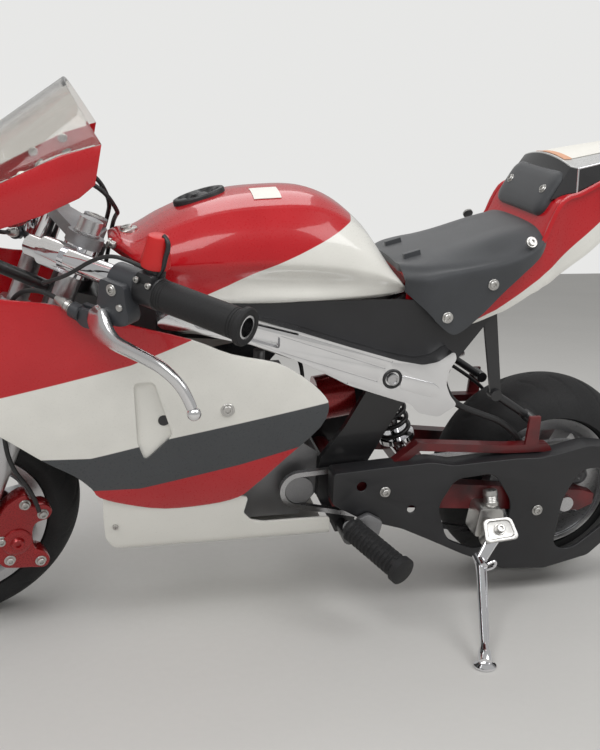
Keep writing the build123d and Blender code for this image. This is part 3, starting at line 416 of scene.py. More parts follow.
print("scene: materials")
paints = {"red": (0.50, 0.006, 0.012), "white": (0.80, 0.79, 0.74), "slate": (0.045, 0.05, 0.055)}
looks = {
    "redPaint": {
        "colour": paints["red"], "grain": 420, "rough": 0.3, "bump": 0.05, "coat": 0.7, "spread": 0.1,
        "specular": 0.3,
    },
    "whitePaint": {
        "colour": paints["white"], "grain": 420, "rough": 0.32, "bump": 0.05, "coat": 0.9,
        "spread": 0.05,
    },
    "chromePlate": {
        "colour": (0.82, 0.82, 0.84), "grain": 260, "rough": 0.08, "bump": 0.02, "metal": 1,
        "spread": 0.08,
    },
    "polishedAlloy": {
        "colour": (0.80, 0.80, 0.81), "grain": 330, "rough": 0.2, "bump": 0.06, "metal": 1,
        "stretch": (1, 6, 6), "drawn": 0.4, "spread": 0.1,
    },
    "castAlloy": {
        "colour": (0.36, 0.36, 0.37), "grain": 900, "rough": 0.5, "bump": 0.35, "metal": 1,
        "spread": 0.3,
    },
    "silverAlloy": {
        "colour": (0.62, 0.62, 0.63), "grain": 700, "rough": 0.33, "bump": 0.12, "metal": 1,
        "spread": 0.15,
    },
    "brushedSteel": {
        "colour": (0.55, 0.55, 0.56), "grain": 240, "rough": 0.3, "bump": 0.1, "metal": 1,
        "stretch": (1, 1, 9), "drawn": 0.5, "spread": 0.2,
    },
    "blackSteel": {
        "colour": (0.02, 0.02, 0.022), "grain": 800, "rough": 0.36, "bump": 0.15, "coat": 0.3,
        "spread": 0.35,
    },
    "blackPlastic": {
        "colour": (0.018, 0.018, 0.02), "grain": 1500, "rough": 0.4, "bump": 0.2, "spread": 0.3,
    },
    "gripRubber": {
        "colour": (0.016, 0.016, 0.017), "grain": 1100, "rough": 0.62, "bump": 0.3, "spread": 0.3,
        "specular": 0.4,
    },
    "tyreRubber": {
        "colour": (0.021, 0.021, 0.022), "grain": 900, "rough": 0.68, "bump": 0.3, "spread": 0.4,
        "specular": 0.35,
    },
    "perchBlack": {
        "colour": (0.045, 0.048, 0.055), "grain": 900, "rough": 0.42, "bump": 0.12, "spread": 0.25,
    },
    "boltSteel": {
        "colour": (0.60, 0.59, 0.57), "grain": 380, "rough": 0.34, "bump": 0.06, "metal": 1,
        "spread": 0.2,
    },
    "redPlastic": {
        "colour": (0.58, 0.012, 0.012), "grain": 700, "rough": 0.42, "bump": 0.06, "spread": 0.12,
    },
    "cableCover": {
        "colour": (0.018, 0.018, 0.019), "grain": 500, "rough": 0.42, "bump": 0.08, "spread": 0.3,
    },
    # red metal, its red darkened with painted shade to the dark red that the caliper shows in shadow
    "redMetalPaintedShade": {
        "colour": (0.34, 0.008, 0.010), "grain": 600, "rough": 0.28, "bump": 0.08, "metal": 0.5,
        "coat": 0.6, "spread": 0.2,
    },
    # the swingarm's red darkened nearly to black, with darker patches: painted shade for the red arm that sits in
    # shadow behind the chain cover
    "armRedPaintedShade": {
        "colour": (0.14, 0.005, 0.007), "second": (0.03, 0.008, 0.009), "grain": 600, "rough": 0.4,
        "bump": 0.12, "coat": 0.3, "patches": 22,
    },
    "glossBlack": {
        "colour": (0.022, 0.022, 0.024), "grain": 500, "rough": 0.16, "bump": 0.03, "coat": 0.8,
        "spread": 0.2,
    },
    "deckSilver": {
        "colour": (0.70, 0.70, 0.69), "grain": 600, "rough": 0.3, "bump": 0.06, "metal": 0.35,
        "coat": 0.5, "spread": 0.06,
    },
    "labelPaper": {"colour": (0.86, 0.84, 0.78), "grain": 900, "rough": 0.55, "bump": 0.06, "spread": 0.05},
    "labelOrange": {"colour": (0.78, 0.42, 0.26), "grain": 900, "rough": 0.5, "bump": 0.06, "spread": 0.12},
    "clearScreen": {
        "colour": (0.82, 0.80, 0.77), "grain": 60, "rough": 0.06, "bump": 0.02, "clear": 1, "ior": 1.3,
        "spread": 0.08, "coat": 0.3,
    },
    "softPad": {
        "colour": (0.038, 0.041, 0.046), "grain": 1300, "rough": 0.58, "bump": 0.45, "spread": 0.25,
        "sheen": 0.25, "deep": 0.4,
    },
}
finishes = {name: makeFinish(name, look) for name, look in looks.items()}

slotFinish = {
    "rubber": "tyreRubber", "silver_alloy": "silverAlloy", "chrome": "chromePlate", "steel": "brushedSteel",
    "black_steel": "blackSteel", "black_plastic": "blackPlastic", "black_pad": "softPad",
    "grip_rubber": "gripRubber", "red_gloss": "redPaint", "white_gloss": "whitePaint",
    "red_metal": "redMetalPaintedShade", "clear_screen": "clearScreen", "cast_alloy": "castAlloy",
    "cable_cover": "cableCover",
}
nodeLooks = {part["node"]: slotFinish[part["material_slot"]] for part in frame["record"]["subparts"]}
# the swingarm takes the red darkened with painted shade
nodeLooks.update({
    "swingarm": "armRedPaintedShade", "upper_fork_clamp": "castAlloy", "seat_link_left": "blackSteel",
    "seat_link_right": "blackSteel",
})
for name, look in nodeLooks.items():
    cadNodes[name].data.materials.clear()
    cadNodes[name].data.materials.append(finishes[look])


def bikePlace(finish, place):
    turn, shift = tuple(bikeFromRow.to_euler("XYZ")), tuple(bikeFromRow.to_translation())
    upright = addNode(finish, "Mapping", {"Rotation": turn, "Location": shift})
    wire(finish, place, upright.inputs["Vector"])
    split = addNode(finish, "SeparateXYZ")
    wire(finish, upright.outputs["Vector"], split.inputs["Vector"])
    return split.outputs


# 1 above a line of (x, z) points, seen from the side, and 0 below it
def aboveLine(finish, bikeXyz, line, highest=700, softness=0.4):
    lowX, highX = line[0][0], line[-1][0]
    curve = addNode(finish, "FloatCurve", {"Factor": 1})
    track = curve.mapping.curves[0]
    while len(track.points) < len(line):
        track.points.new(0.5, 0.5)
    for point, (x, z) in zip(track.points, line):
        point.location = ((x - lowX) / (highX - lowX), z / highest)
        point.handle_type = "VECTOR"
    curve.mapping.update()
    wire(finish, spanNode(finish, bikeXyz["X"], lowX * mm, highX * mm), curve.inputs["Value"])
    gap = addNode(finish, "Math", operation="SUBTRACT")
    wire(finish, spanNode(finish, bikeXyz["Z"], 0, highest * mm), gap.inputs[0])
    wire(finish, curve.outputs["Value"], gap.inputs[1])
    return spanNode(finish, gap.outputs["Value"], -softness / highest, softness / highest)


# painted pieces: the colour at the bottom, then each line and the colour above it
stripes = {
    "fairingPaint": ["red", (
        "slate", [(-60, 206), (203, 206), (246, 216), (311, 231), (378, 250), (410, 258)],
    ), (
        "white", [(-60, 249), (152, 249), (165, 252), (237, 270), (320, 286), (410, 303)],
    ), (
        "red", [(-60, 288), (66, 320), (125, 335), (195, 353), (245, 373), (300, 396), (410, 442)],
    )],
    "tankPaint": ["white", (
        "red", [
            (200, 330), (262, 404), (270, 410), (331, 440), (373, 458), (412, 476), (440, 488), (520, 530),
        ],
    )],
    "tailPaint": ["red", (
        "white", [(490, 310), (568, 356), (613, 376), (666, 405), (729, 445), (820, 520)],
    ), (
        "red", [(490, 320), (559, 366), (610, 390), (661, 424), (722, 472), (820, 552)],
    )],
}


def stripedColour(finish, place, lowest, *bands):
    bikeXyz = bikePlace(finish, place)
    colour = paints[lowest]
    for paint, line in bands:
        colour = mixColours(finish, aboveLine(finish, bikeXyz, line), colour, paints[paint])
    return colour


for name, bands in stripes.items():
    finishes[name] = makeFinish(
        name, looks["redPaint"], lambda finish, place: stripedColour(finish, place, *bands),
    )

print("scene: camera and studio")
cameraView = {
    "place": (-0.2135, -1.03654, 0.47246), "turn": (80.0784, -0.1535, -13.3859), "lens": 43.294,
    "filmHeight": 36, "nearest": 0.01,
}
cameraTurn = [math.radians(angle) for angle in cameraView["turn"]]
bpy.ops.object.camera_add(location=cameraView["place"], rotation=cameraTurn)
camera = bpy.context.object
camera.data.sensor_fit = "VERTICAL"
camera.data.sensor_height = cameraView["filmHeight"]
camera.data.lens = cameraView["lens"]
camera.data.clip_start = cameraView["nearest"]
scene.camera = camera

studio = {
    "floor": {
        "colour": (0.62, 0.61, 0.59), "grain": 90, "patches": 2, "rough": 0.7, "bump": 0.02, "spread": 0.04,
    },
    "floorSize": 9, "floorPlace": (0, 1.5, 0), "sky": (0.80, 0.80, 0.79), "skyLight": 0.55, "skySeen": 1,
    "lamps": [  # place, aimed at, size, watts
        ((-0.9, -1.6, 2.2), (0, 0, 0.3), 1.6, 32),
        ((1.3, -1.2, 1.9), (0.1, 0, 0.35), 1.2, 16),
        ((0.2, 1.3, 2.3), (0, 0, 0.3), 1.4, 11),
    ],
}
bpy.ops.mesh.primitive_grid_add(
    x_subdivisions=8, y_subdivisions=8, size=studio["floorSize"], location=studio["floorPlace"],
)
floor = bpy.context.object
floor.name = "floor"
floor.data.materials.append(makeFinish("floorCard", studio["floor"]))
world = bpy.data.worlds.new("studioSky")
world.use_nodes = True
scene.world = world
sky = world.node_tree.nodes["Background"]
sky.inputs["Color"].default_value = (*studio["sky"], 1)
lightPath, seen, strength = (
    world.node_tree.nodes.new("ShaderNode" + kind) for kind in ("LightPath", "Math", "MapRange")
)
seen.operation = "MAXIMUM"
strength.inputs["To Min"].default_value = studio["skyLight"]
strength.inputs["To Max"].default_value = studio["skySeen"]
for source, target in (
    (lightPath.outputs["Is Camera Ray"], seen.inputs[0]),
    (lightPath.outputs["Is Transmission Ray"], seen.inputs[1]),
    (seen.outputs["Value"], strength.inputs["Value"]),
    (strength.outputs["Result"], sky.inputs["Strength"]),
):
    world.node_tree.links.new(source, target)
for place, target, size, watts in studio["lamps"]:
    bpy.ops.object.light_add(type="AREA", location=place)
    lamp = bpy.context.object
    lamp.rotation_euler = (Vector(target) - Vector(place)).to_track_quat("-Z", "Y").to_euler()
    lamp.data.size = size
    lamp.data.energy = watts

print("scene: side fairings and belly pan")
fairing = {
    # half width of the panel at each station along the bike, for each height
    "stations": [-48, 90, 235, 412], "heights": [450, 330, 230, 160],
    "spans": [[96, 104, 98, 84], [110, 122, 114, 92], [116, 130, 120, 95], [112, 126, 117, 92]],
    "along": (-47, 408, 76), "upwards": (172, 438, 46), "wall": 3.4, "cut": (-160, -60),
    "outline": [
        (-46, 436), (30, 427), (72, 420), (114, 416), (157, 407), (196, 394), (256, 378), (298, 361),
        (346, 350), (374, 334), (396, 315), (406, 298), (398, 273), (362, 236), (329, 199), (312, 183),
        (280, 175), (230, 173), (187, 184), (160, 196), (152, 209), (135, 227), (106, 246), (77, 268),
        (30, 302), (-15, 345), (-42, 392),
    ],
    "slot": [(197, 334), (218, 335), (237, 273), (208, 243), (200, 266)], "slotCorner": 5,
    # the scoop behind the slot: each ring's size against the slot, and its depth
    "scoop": [(1.2, 3.4), (1.12, 11), (0.95, 17), (0.5, 19), (0.1, 19.2)], "scoopWall": 1.2,
    "scoopMiddle": (218, 290),
}


def cubicThrough(knots, values, at):
    total = 0
    for i, knot in enumerate(knots):
        weight = 1
        for j, other in enumerate(knots):
            if j != i:
                weight *= (at - other) / (knot - other)
        total += weight * values[i]
    return total


def fairingSpan(x, z, lift=0):
    spans = [cubicThrough(fairing["heights"], row, z) for row in fairing["spans"]]
    return -cubicThrough(fairing["stations"], spans, x) - lift


def fairingPoint(x, z, lift=0):
    return (x, fairingSpan(x, z, lift), z)


leftFairing = skinPiece([
    [fairingPoint(x, z) for x in between(*fairing["along"])] for z in between(*fairing["upwards"])
])
giveWall(leftFairing, fairing["wall"], inwards=True)
cutOutline(leftFairing, flowing(fairing["outline"], 3, closed=True), *fairing["cut"], keepInside=True)
cutOutline(leftFairing, fairing["slot"], *fairing["cut"], corner=fairing["slotCorner"])
softenEdges(leftFairing, 0.9, 2, 50)
finishPair(
    leftFairing, "leftFairing", "rightFairing", "fairingPaint", "white_gloss", "side_fairing_", smooth=30,
)
middleX, middleZ = fairing["scoopMiddle"]
scoopRows = [
    [fairingPoint(middleX + (x - middleX) * size, middleZ + (z - middleZ) * size, -deep)
     for size, deep in fairing["scoop"]]
    for x, z in flowing(fairing["slot"], 4, closed=True)
]
leftScoop = giveWall(skinPiece(scoopRows + [scoopRows[0]], closeEnds=True), fairing["scoopWall"])
finishPair(leftScoop, "leftScoop", "rightScoop", "whitePaint", "white_gloss", smooth=50)

belly = {
    "half": [(110, 205), (104, 190), (97.5, 160), (90, 131), (84, 118), (68, 108), (40, 106.5), (0, 106)],
    "outline": [
        (163, 200), (163.5, 160), (165, 136), (172, 122), (184, 112), (212, 105.5), (300, 105),
        (430, 105), (424, 142), (380, 142), (345, 142), (330, 146), (320, 158), (324, 180), (300, 188),
        (280, 187), (230, 185), (190, 196),
    ],
    "span": (160, 446, 40), "smoothing": 5, "wall": 3.4, "cut": (-130, 130), "corner": 3,
}
bellyPan = shellPiece(lambda x: belly["half"], belly)
cutOutline(bellyPan, belly["outline"], *belly["cut"], corner=belly["corner"], keepInside=True)
softenEdges(bellyPan, 0.8, 2, 50)
finishPiece(bellyPan, "bellyPan", "whitePaint", "white_gloss", node="belly_pan")

print("scene: tank")
tank = {
    # x, half width below, half width at the shoulder, bottom, shoulder, top
    "rows": [
        (180, 24, 34, 452, 456, 462), (190, 38, 48, 447, 455, 466), (205, 62, 72, 440, 449, 465),
        (240, 80, 90, 414, 448, 486), (285, 84, 96, 404, 452, 505), (345, 84, 97, 402, 450, 515),
        (405, 82, 95, 402, 446, 513), (455, 78, 88, 404, 438, 483), (490, 72, 79, 407, 424, 434),
        (503, 66, 70, 408, 414, 418),
    ],
    "span": (180, 503, 66), "smoothing": 4, "wall": 3, "creaseWide": 0.66, "creaseHigh": 0.80,
    # depth of the knee pocket and height of the ridge below it, where each is, and how far it reaches
    "pocket": (7, 375, 75), "ridge": (2.5, 370, 120),
}


def swelling(x, height, middle, reach):
    return height * max(0, 1 - ((x - middle) / reach) ** 2)


def tankHalf(x):
    halfBottom, halfSide, low, side, top = tableAt(tank["rows"], x)
    rise, drop = top - side, side - low
    pocket, ridge = swelling(x, *tank["pocket"]), swelling(x, *tank["ridge"])
    crease, creaseHigh = tank["creaseWide"], tank["creaseHigh"]
    return [
        (halfBottom - 3, low - 1), (halfBottom + ridge, low + drop * 0.1),
        (halfBottom + ridge + 1, low + drop * 0.22),
        (halfBottom + (halfSide - halfBottom) * 0.45 - pocket, low + drop * 0.5),
        (halfSide - pocket * 0.4, low + drop * 0.85), (halfSide, side + rise * 0.06),
        (halfSide * 0.92, side + rise * 0.42),
        (halfSide * (crease + 0.06), side + rise * (creaseHigh - 0.07)),
        (halfSide * crease, side + rise * creaseHigh),
        (halfSide * (crease - 0.07), side + rise * (creaseHigh + 0.045)),
        (halfSide * 0.34, side + rise * 0.955), (0, top),
    ]


tankShell = shellPiece(tankHalf, tank)
softenEdges(tankShell, 1, 2, 60)
finishPiece(tankShell, "tankShell", "tankPaint", "red_gloss", smooth=40, node="tank_cover")

print("scene: tail")
tail = {
    # x, half width below, half width at the shoulder, bottom, shoulder, top
    "rows": [
        (503, 74, 77, 402, 418, 428), (560, 84, 87, 372, 430, 440), (615, 84, 87, 386, 442, 456),
        (638, 83, 85, 398, 448, 458), (652, 81, 82, 406, 456, 466), (661, 80, 80, 410, 472, 480),
        (668, 78, 79, 414, 492, 498),
        (676, 77, 76, 418, 507, 512), (690, 71, 70, 426, 515, 519), (704, 67, 66, 434, 518, 522),
        (730, 63, 62, 451, 530, 534), (762, 55, 55, 476, 545, 549), (817, 36, 40, 520, 563, 567),
    ],
    "span": (503, 817, 80), "smoothing": 4, "wall": 3,
    # x, half width of the deck, its edge, its middle, the lower edge of the black band
    "deck": [
        (701, 61, 546.7, 556, 517), (716, 60.5, 550, 559, 523), (732, 59, 553.5, 562, 530),
        (762, 53, 560, 567, 544), (790, 46, 566, 571.5, 555), (817, 38, 570, 574, 563),
    ],
    "deckFront": 691, "deckFrom": 701.5, "deckEnd": 816, "deckWall": 2.4, "panelWall": 2,
    "foot": (672, 66, 512), "cheek": (702.5, 63, 517.5), "trim": 1.3,
    # the ledge behind the seat: its width, its back and top in the middle, and its section
    "ledgeSpan": (-40, 46, 24), "ledgeBack": (668.5, 4), "ledgeTop": (484, 5),
    "ledgeSection": [(-5, -9), (-5.4, -1.5), (-3.6, 1), (2, 3.4), (6, 4.6), (9, -6)],
}


def tailHalf(x):
    halfBottom, halfSide, low, side, top = tableAt(tail["rows"], x)
    rise = top - side
    return [
        (halfBottom, low), (halfBottom + (halfSide - halfBottom) * 0.55, low + (side - low) * 0.5),
        (halfSide, side - 3), (halfSide, side), (halfSide * 0.93, side + rise * 0.62),
        (halfSide * 0.8, side + rise * 0.86), (halfSide * 0.5, side + rise * 0.96), (0, top),
    ]


tailShell = shellPiece(tailHalf, tail)
softenEdges(tailShell, 0.9, 2, 60)
finishPiece(tailShell, "tailShell", "tailPaint", "red_gloss", smooth=40, node="tail_cowl")


# along runs from 0 at the deck's front to 1 at its end, across from -1 on the left to 1
def deckPoint(along, across, lift=0):
    front = tail["deckFront"] + 3 * across ** 2 + max(0, abs(across) - 0.93) * 100
    x = front + (tail["deckEnd"] - front) * along
    half, edge, middle, low = tableAt(tail["deck"], x)
    return (x, half * across, edge + (middle - edge) * (1 - across ** 2) + lift)


# the black face below the deck's front edge, down to the lumbar pad
def fasciaPoint(down, across):
    top = Vector(deckPoint(0, across, -0.6))
    footX, footY, footZ = tail["foot"]
    foot = Vector((footX + 4 * (1 - across ** 2), footY * across, footZ - 5 * (1 - across ** 2)))
    if abs(across) > 0.95:
        cheekX, cheekY, cheekZ = tail["cheek"]
        foot = Vector((cheekX, math.copysign(cheekY, across), cheekZ))
    return tuple(top.lerp(foot, down))


acrossSteps = [-1, -0.93] + between(-0.86, 0.86, 19) + [0.93, 1]
deck = skinPiece([[deckPoint(u, v) for v in acrossSteps] for u in between(0, 1, 26)])
giveWall(deck, tail["deckWall"])
softenEdges(deck, 0.7, 2, 60)
finishPiece(deck, "tailDeck", "deckSilver", "white_gloss", smooth=40)
panels = [skinPiece([[fasciaPoint(t, v) for v in acrossSteps] for t in between(0, 1, 10)])]
for side in (-1, 1):
    band = []
    for x in between(tail["deckFrom"], tail["deckEnd"], 26):
        half, edge, middle, low = tableAt(tail["deck"], x)
        band.append([(x, side * (half + 2 * t), edge + (low - 1 - edge) * t) for t in between(0, 1, 5)])
    panels.append(skinPiece(band))
half, edge, middle, low = tableAt(tail["deck"], tail["deckEnd"])
panels.append(skinPiece([
    [(tail["deckEnd"] - 1, half * v, edge + (middle - edge) * (1 - v * v) - (edge - low + 2) * t)
     for v in between(-1, 1, 13)]
    for t in between(0, 1, 4)
]))
for panel in panels:
    giveWall(panel, tail["panelWall"])
finishPiece(joinPieces(panels), "tailFascia", "glossBlack", "black_plastic", smooth=30)
trims = []
for side in (-1, 1):
    line = [Vector(fasciaPoint(t, side)) + Vector((0, side * 0.6, 0.4)) for t in between(1, 0, 4)]
    line += [Vector(deckPoint(u, side, 0.3)) + Vector((0, side * 0.6, 0)) for u in between(0, 1, 9)]
    trims.append(tubePiece(line, tail["trim"], 3))
finishPiece(joinPieces(trims), "tailTrim", "chromePlate", "chrome", smooth=60)
ledge = []
(ledgeBack, ledgeCurve), (ledgeTop, ledgeDrop) = tail["ledgeBack"], tail["ledgeTop"]
for y in between(*tail["ledgeSpan"]):
    away = (y / tail["ledgeSpan"][1]) ** 2
    ledge.append([
        (ledgeBack - ledgeCurve * away + x, y, ledgeTop - ledgeDrop * away + z)
        for x, z in tail["ledgeSection"]
    ])
seatLedge = skinPiece(ledge, around=True, closeEnds=True)
softenEdges(seatLedge, 0.8, 2, 40)
finishPiece(seatLedge, "seatLedge", "redPaint", "red_gloss", smooth=40)

print("scene: seat and lumbar pads")
seat = {
    # x, top at the middle, crease half width and height, flap half width and lowest edge
    "rows": [
        (500, 437, 60, 431, 76, 411), (520, 442, 78, 434, 94, 394), (543, 448, 84, 438, 98, 372),
        (558, 452, 86, 440, 98, 366), (585, 460, 87, 445, 98, 387), (609, 468, 87, 450, 97, 412),
        (632, 475, 86, 458, 95, 433), (655, 481, 80, 469, 88, 452), (667, 483, 70, 476, 76, 466),
    ],
    "span": (500, 667, 44), "smoothing": 5, "wall": 9, "edge": 2.5,
    "slot": (20, 6, 10), "slotPlace": (521, 34, 442), "slotTilt": -0.28,
}


def seatHalf(x):
    top, creaseWide, creaseHigh, flapWide, flapLow = tableAt(seat["rows"], x)
    return [
        (flapWide, flapLow), (flapWide, flapLow + (creaseHigh - flapLow) * 0.5),
        (flapWide - 1, creaseHigh - 5),
        (creaseWide + 2, creaseHigh), (creaseWide - 9, creaseHigh + 5), (creaseWide * 0.62, top - 1.5),
        (creaseWide * 0.3, top - 0.3), (0, top),
    ]


seatPad = shellPiece(seatHalf, seat)
for side in (-1, 1):
    bpy.ops.mesh.primitive_cube_add(size=mm)
    slotCutter = bpy.context.object
    slotX, slotY, slotZ = seat["slotPlace"]
    slotShift = Matrix.Translation(Vector((slotX, side * slotY, slotZ)) * mm)
    slotCutter.data.transform(Matrix.Diagonal((*seat["slot"], 1)))
    slotCutter.data.transform(slotShift @ Matrix.Rotation(seat["slotTilt"], 4, "Y"))
    cutAway(seatPad, slotCutter)
softenEdges(seatPad, seat["edge"], 3, 60)
finishPiece(seatPad, "seatPad", "softPad", "black_pad", smooth=50, node="seat_pad")

lumbar = {
    "middle": (681, 0, 514), "slope": 60, "wide": 118, "tall": 56, "round": 14,
    # how far each ring of the pad is in from its edge, and its height
    "rings": [(2, -8), (0, -4), (0, 5), (1, 8.6), (4, 11), (9, 12.2), (17, 12.8)],
    "boltAcross": 42, "boltHigh": 12.2,
}
lumbarPlace = Matrix.Translation(Vector(lumbar["middle"])) @ turnBy(-lumbar["slope"], "Y") @ turnBy(90, "Z")


def padOutline(inset, steps=8):
    corner = max(lumbar["round"] - inset * 0.4, 1.5)
    reachX, reachY = lumbar["wide"] / 2 - inset - corner, lumbar["tall"] / 2 - inset - corner
    spots = []
    for quarter, (sideX, sideY) in enumerate(((1, 1), (-1, 1), (-1, -1), (1, -1))):
        for step in range(steps + 1):
            angle = math.radians(90 * quarter + 90 * step / steps)
            spots.append((
                sideX * reachX + corner * math.cos(angle), sideY * reachY + corner * math.sin(angle),
            ))
    return spots


lumbarPad = skinPiece([
    [lumbarPlace @ Vector((x, y, lift)) for x, y in padOutline(inset)] for inset, lift in lumbar["rings"]
], around=True, closeEnds=True)
finishPiece(lumbarPad, "lumbarPad", "softPad", "black_pad", smooth=50, node="lumbar_pad")

print("scene: nose and windscreen")
nose = {
    # x, half width below, half width at the shoulder, bottom, shoulder, top
    "rows": [
        (-112, 24, 30, 405, 432, 447), (-60, 64, 72, 400, 455, 482), (20, 92, 98, 400, 500, 539),
        (100, 108, 112, 400, 542, 596), (180, 114, 119, 400, 572, 652),
    ],
    "outline": [
        (-130, 424), (-60, 440), (10, 466), (77, 488), (114, 501), (151, 519), (166, 532), (173, 569),
        (138, 626), (100, 660), (-130, 660),
    ],
    "screen": [(-30, 700), (-30, 478), (20, 502), (80, 531), (135, 558), (173, 569), (220, 600), (220, 700)],
    "span": (-112, 176, 60), "smoothing": 8, "wall": 3.2, "cut": (-150, 150),
}


def noseHalf(x):
    halfBottom, halfSide, low, side, top = tableAt(nose["rows"], x)
    rise = top - side
    return [
        (halfBottom, low), (halfBottom + (halfSide - halfBottom) * 0.5, (low + side) / 2), (halfSide, side),
        (halfSide * 0.62, side + rise * 0.82), (0, top),
    ]


noseSkin = shellPiece(noseHalf, nose)
cutOutline(noseSkin, nose["outline"], *nose["cut"], keepInside=True)
selectOnly(noseSkin)
bpy.ops.object.duplicate()
screen = bpy.context.object
cutOutline(noseSkin, nose["screen"], *nose["cut"])
cutOutline(screen, nose["screen"], *nose["cut"], keepInside=True)
for obj in (noseSkin, screen):
    softenEdges(obj, 0.8, 2, 50)
finishPiece(noseSkin, "upperFairing", "redPaint", "red_gloss", smooth=40, node="upper_fairing")
finishPiece(screen, "windscreen", "clearScreen", "clear_screen", smooth=40, node="windscreen")

print("scene: tyres")
tyre = {
    "around": 360, "across": 34, "crownReach": 75,
    # a groove starts at each pitch of steps around, slants back to the side and is cut this share wide
    "pitch": 18, "groove": 1.6, "slant": 1.3, "share": 0.09,
    # radii at which the side wall meets the rim, and of the bead inside it
    "rim": (101, 94, 92.6, 84),
}


# a tyre that stands on the ground, with the widths of its tread and of the rim
def tyrePiece(name, centreX, radius, width, rimWidth, body, node):
    crown = width / 2
    wallFoot, lipTop, beadTop, bead = tyre["rim"]
    lip, beadHalf = rimWidth / 2 + 2, rimWidth / 2 - 4.5
    profile = []
    for step in range(tyre["across"] + 1):
        angle = math.radians(tyre["crownReach"] * (2 * step / tyre["across"] - 1))
        profile.append((crown * math.sin(angle), radius - crown + crown * math.cos(angle)))
    half = [(lip + 3, wallFoot), (lip, lipTop), (beadHalf, beadTop), (beadHalf, bead)]
    profile += half + [(-y, r) for y, r in reversed(half)]
    rows = []
    for turn, angle in enumerate(ringAngles(tyre["around"])):
        ring = []
        for y, r in profile:
            side = abs(y) / crown
            place = (turn / tyre["pitch"] + side * tyre["slant"] + (0.5 if y > 0 else 0)) % 1
            if r > radius - crown * 0.62 and side > 0.1 and place < tyre["share"]:
                r -= tyre["groove"]
            ring.append((centreX + r * math.cos(angle), y, radius + r * math.sin(angle)))
        rows.append(ring)
    finishPiece(skinPiece(rows + [rows[0]], around=True), name, "tyreRubber", "rubber", body, 40, node)


tyrePiece("frontTyre", 0, 140, 90, 76, "front_wheel", "front_tyre")
tyrePiece("rearTyre", bike["wheelbase"], 138, 110, 86, "rear_wheel", "rear_tyre")

print("scene: chain cover and spars")
cover = {
    "outline": [
        (423, 203), (481, 207), (543, 210), (572, 204), (604, 206), (655, 208), (683, 207), (708, 211),
        (747, 220), (790, 214), (820, 190), (826, 150), (806, 98), (770, 64), (710, 50), (650, 56),
        (590, 84), (556, 102), (513, 124), (461, 141), (424, 163),
    ],
    "standWindow": [(556, 150), (575, 186), (625, 190), (652, 150), (650, 104), (612, 86), (572, 104)],
    "axleWindow": [
        (722, 150), (742, 188), (784, 188), (806, 160), (802, 126), (781, 103), (744, 74), (718, 80),
    ],
    "windowCorners": (10, 12), "outer": 104, "skirt": 78, "wall": 3, "floor": 4, "cut": (-130, -60),
    # x, z and radius; bolts and studs also have their height
    "bolts": [(688.5, 135.6, 7, 4), (788, 196, 4, 4), (487, 176, 6.5, 5)],
    "holes": [(458, 184.6, 6), (522, 150, 5)],
}
chainCover = platePiece(cover["outline"], -cover["outer"], -cover["skirt"], corner=4)
hollow = []
for index, (x, z) in enumerate(cover["outline"]):
    before, after = cover["outline"][index - 1], cover["outline"][(index + 1) % len(cover["outline"])]
    runIn = Vector((x - before[0], z - before[1])).normalized()
    runOut = Vector((after[0] - x, after[1] - z)).normalized()
    inward = (Vector((runIn.y, -runIn.x)) + Vector((runOut.y, -runOut.x))).normalized() * cover["wall"]
    hollow.append((x + inward.x, z + inward.y))
cutOutline(chainCover, hollow, cover["wall"] - cover["outer"], cover["floor"] - cover["skirt"], corner=4)
for window, corner in zip((cover["standWindow"], cover["axleWindow"]), cover["windowCorners"]):
    cutOutline(chainCover, window, *cover["cut"], corner=corner)
cutFrom, cutTill = cover["cut"]
for x, z, radius in cover["holes"]:
    cutAway(chainCover, rodPiece((x, cutFrom, z), (x, cutTill, z), radius, 0.1))
softenEdges(chainCover, 1.6, 3, 50)
finishPiece(chainCover, "chainCover", "blackPlastic", "black_plastic", smooth=40, node="chain_cover")
coverBolts = [boltPiece((x, -cover["outer"], z), (0, -1, 0), r, high) for x, z, r, high in cover["bolts"]]
finishPiece(joinPieces(coverBolts), "coverBolts", "boltSteel", "steel")

spar = {
    "outline": [
        (222, 393), (236, 402), (308, 397), (372, 379), (429, 360), (487, 342), (516, 336), (534, 339),
        (552, 351), (556, 342), (548, 328), (546, 312), (552, 298), (562, 286), (541, 272), (516, 278),
        (505, 290), (491, 294), (432, 315), (374, 345), (319, 366), (266, 379), (226, 386),
    ],
    "pockets": [
        [(258, 397), (300, 391), (352, 373.5), (352, 360.5), (300, 377), (262, 386)],
        [(276, 398.6), (308, 395.4), (372, 377), (372, 374.6), (308, 392), (280, 397)],
    ],
    "grooves": [
        ((352, 375.5), (472, 334)), ((352, 358), (464, 319)), ((372, 376), (480, 341)),
        ((300, 374), (430, 318)),
    ],
    "pad": [(492, 325), (532, 313.5), (540, 306), (537, 297), (529, 297), (490, 309)],
    "pocketFloor": 11, "grooveDepth": 1.6, "padHigh": 1.3, "inner": 84, "outer": 112, "cutFrom": -130,
    "plug": (481.2, 321), "plugFrom": 4, "plugTurning": [
        (-4, 11.6), (4.6, 11.6), (5.6, 10.6), (5.6, 8.4), (3.2, 8), (3.2, 0.01),
    ],
    "ringFrom": 2, "ringTurning": [(4, 6.6), (6, 6.6), (6.4, 6), (6.4, 4.4), (5, 4), (5, 0.01)],
}
leftSpar = platePiece(spar["outline"], -spar["outer"], -spar["inner"], corner=4)
for pocket in spar["pockets"]:
    cutOutline(leftSpar, pocket, spar["cutFrom"], spar["pocketFloor"] - spar["outer"], corner=3)
for (x0, z0), (x1, z1) in spar["grooves"]:
    strip = [(x0, z0 + 1), (x1, z1 + 1), (x1, z1 - 1), (x0, z0 - 1)]
    cutOutline(leftSpar, strip, spar["cutFrom"], spar["grooveDepth"] - spar["outer"], corner=0.9)
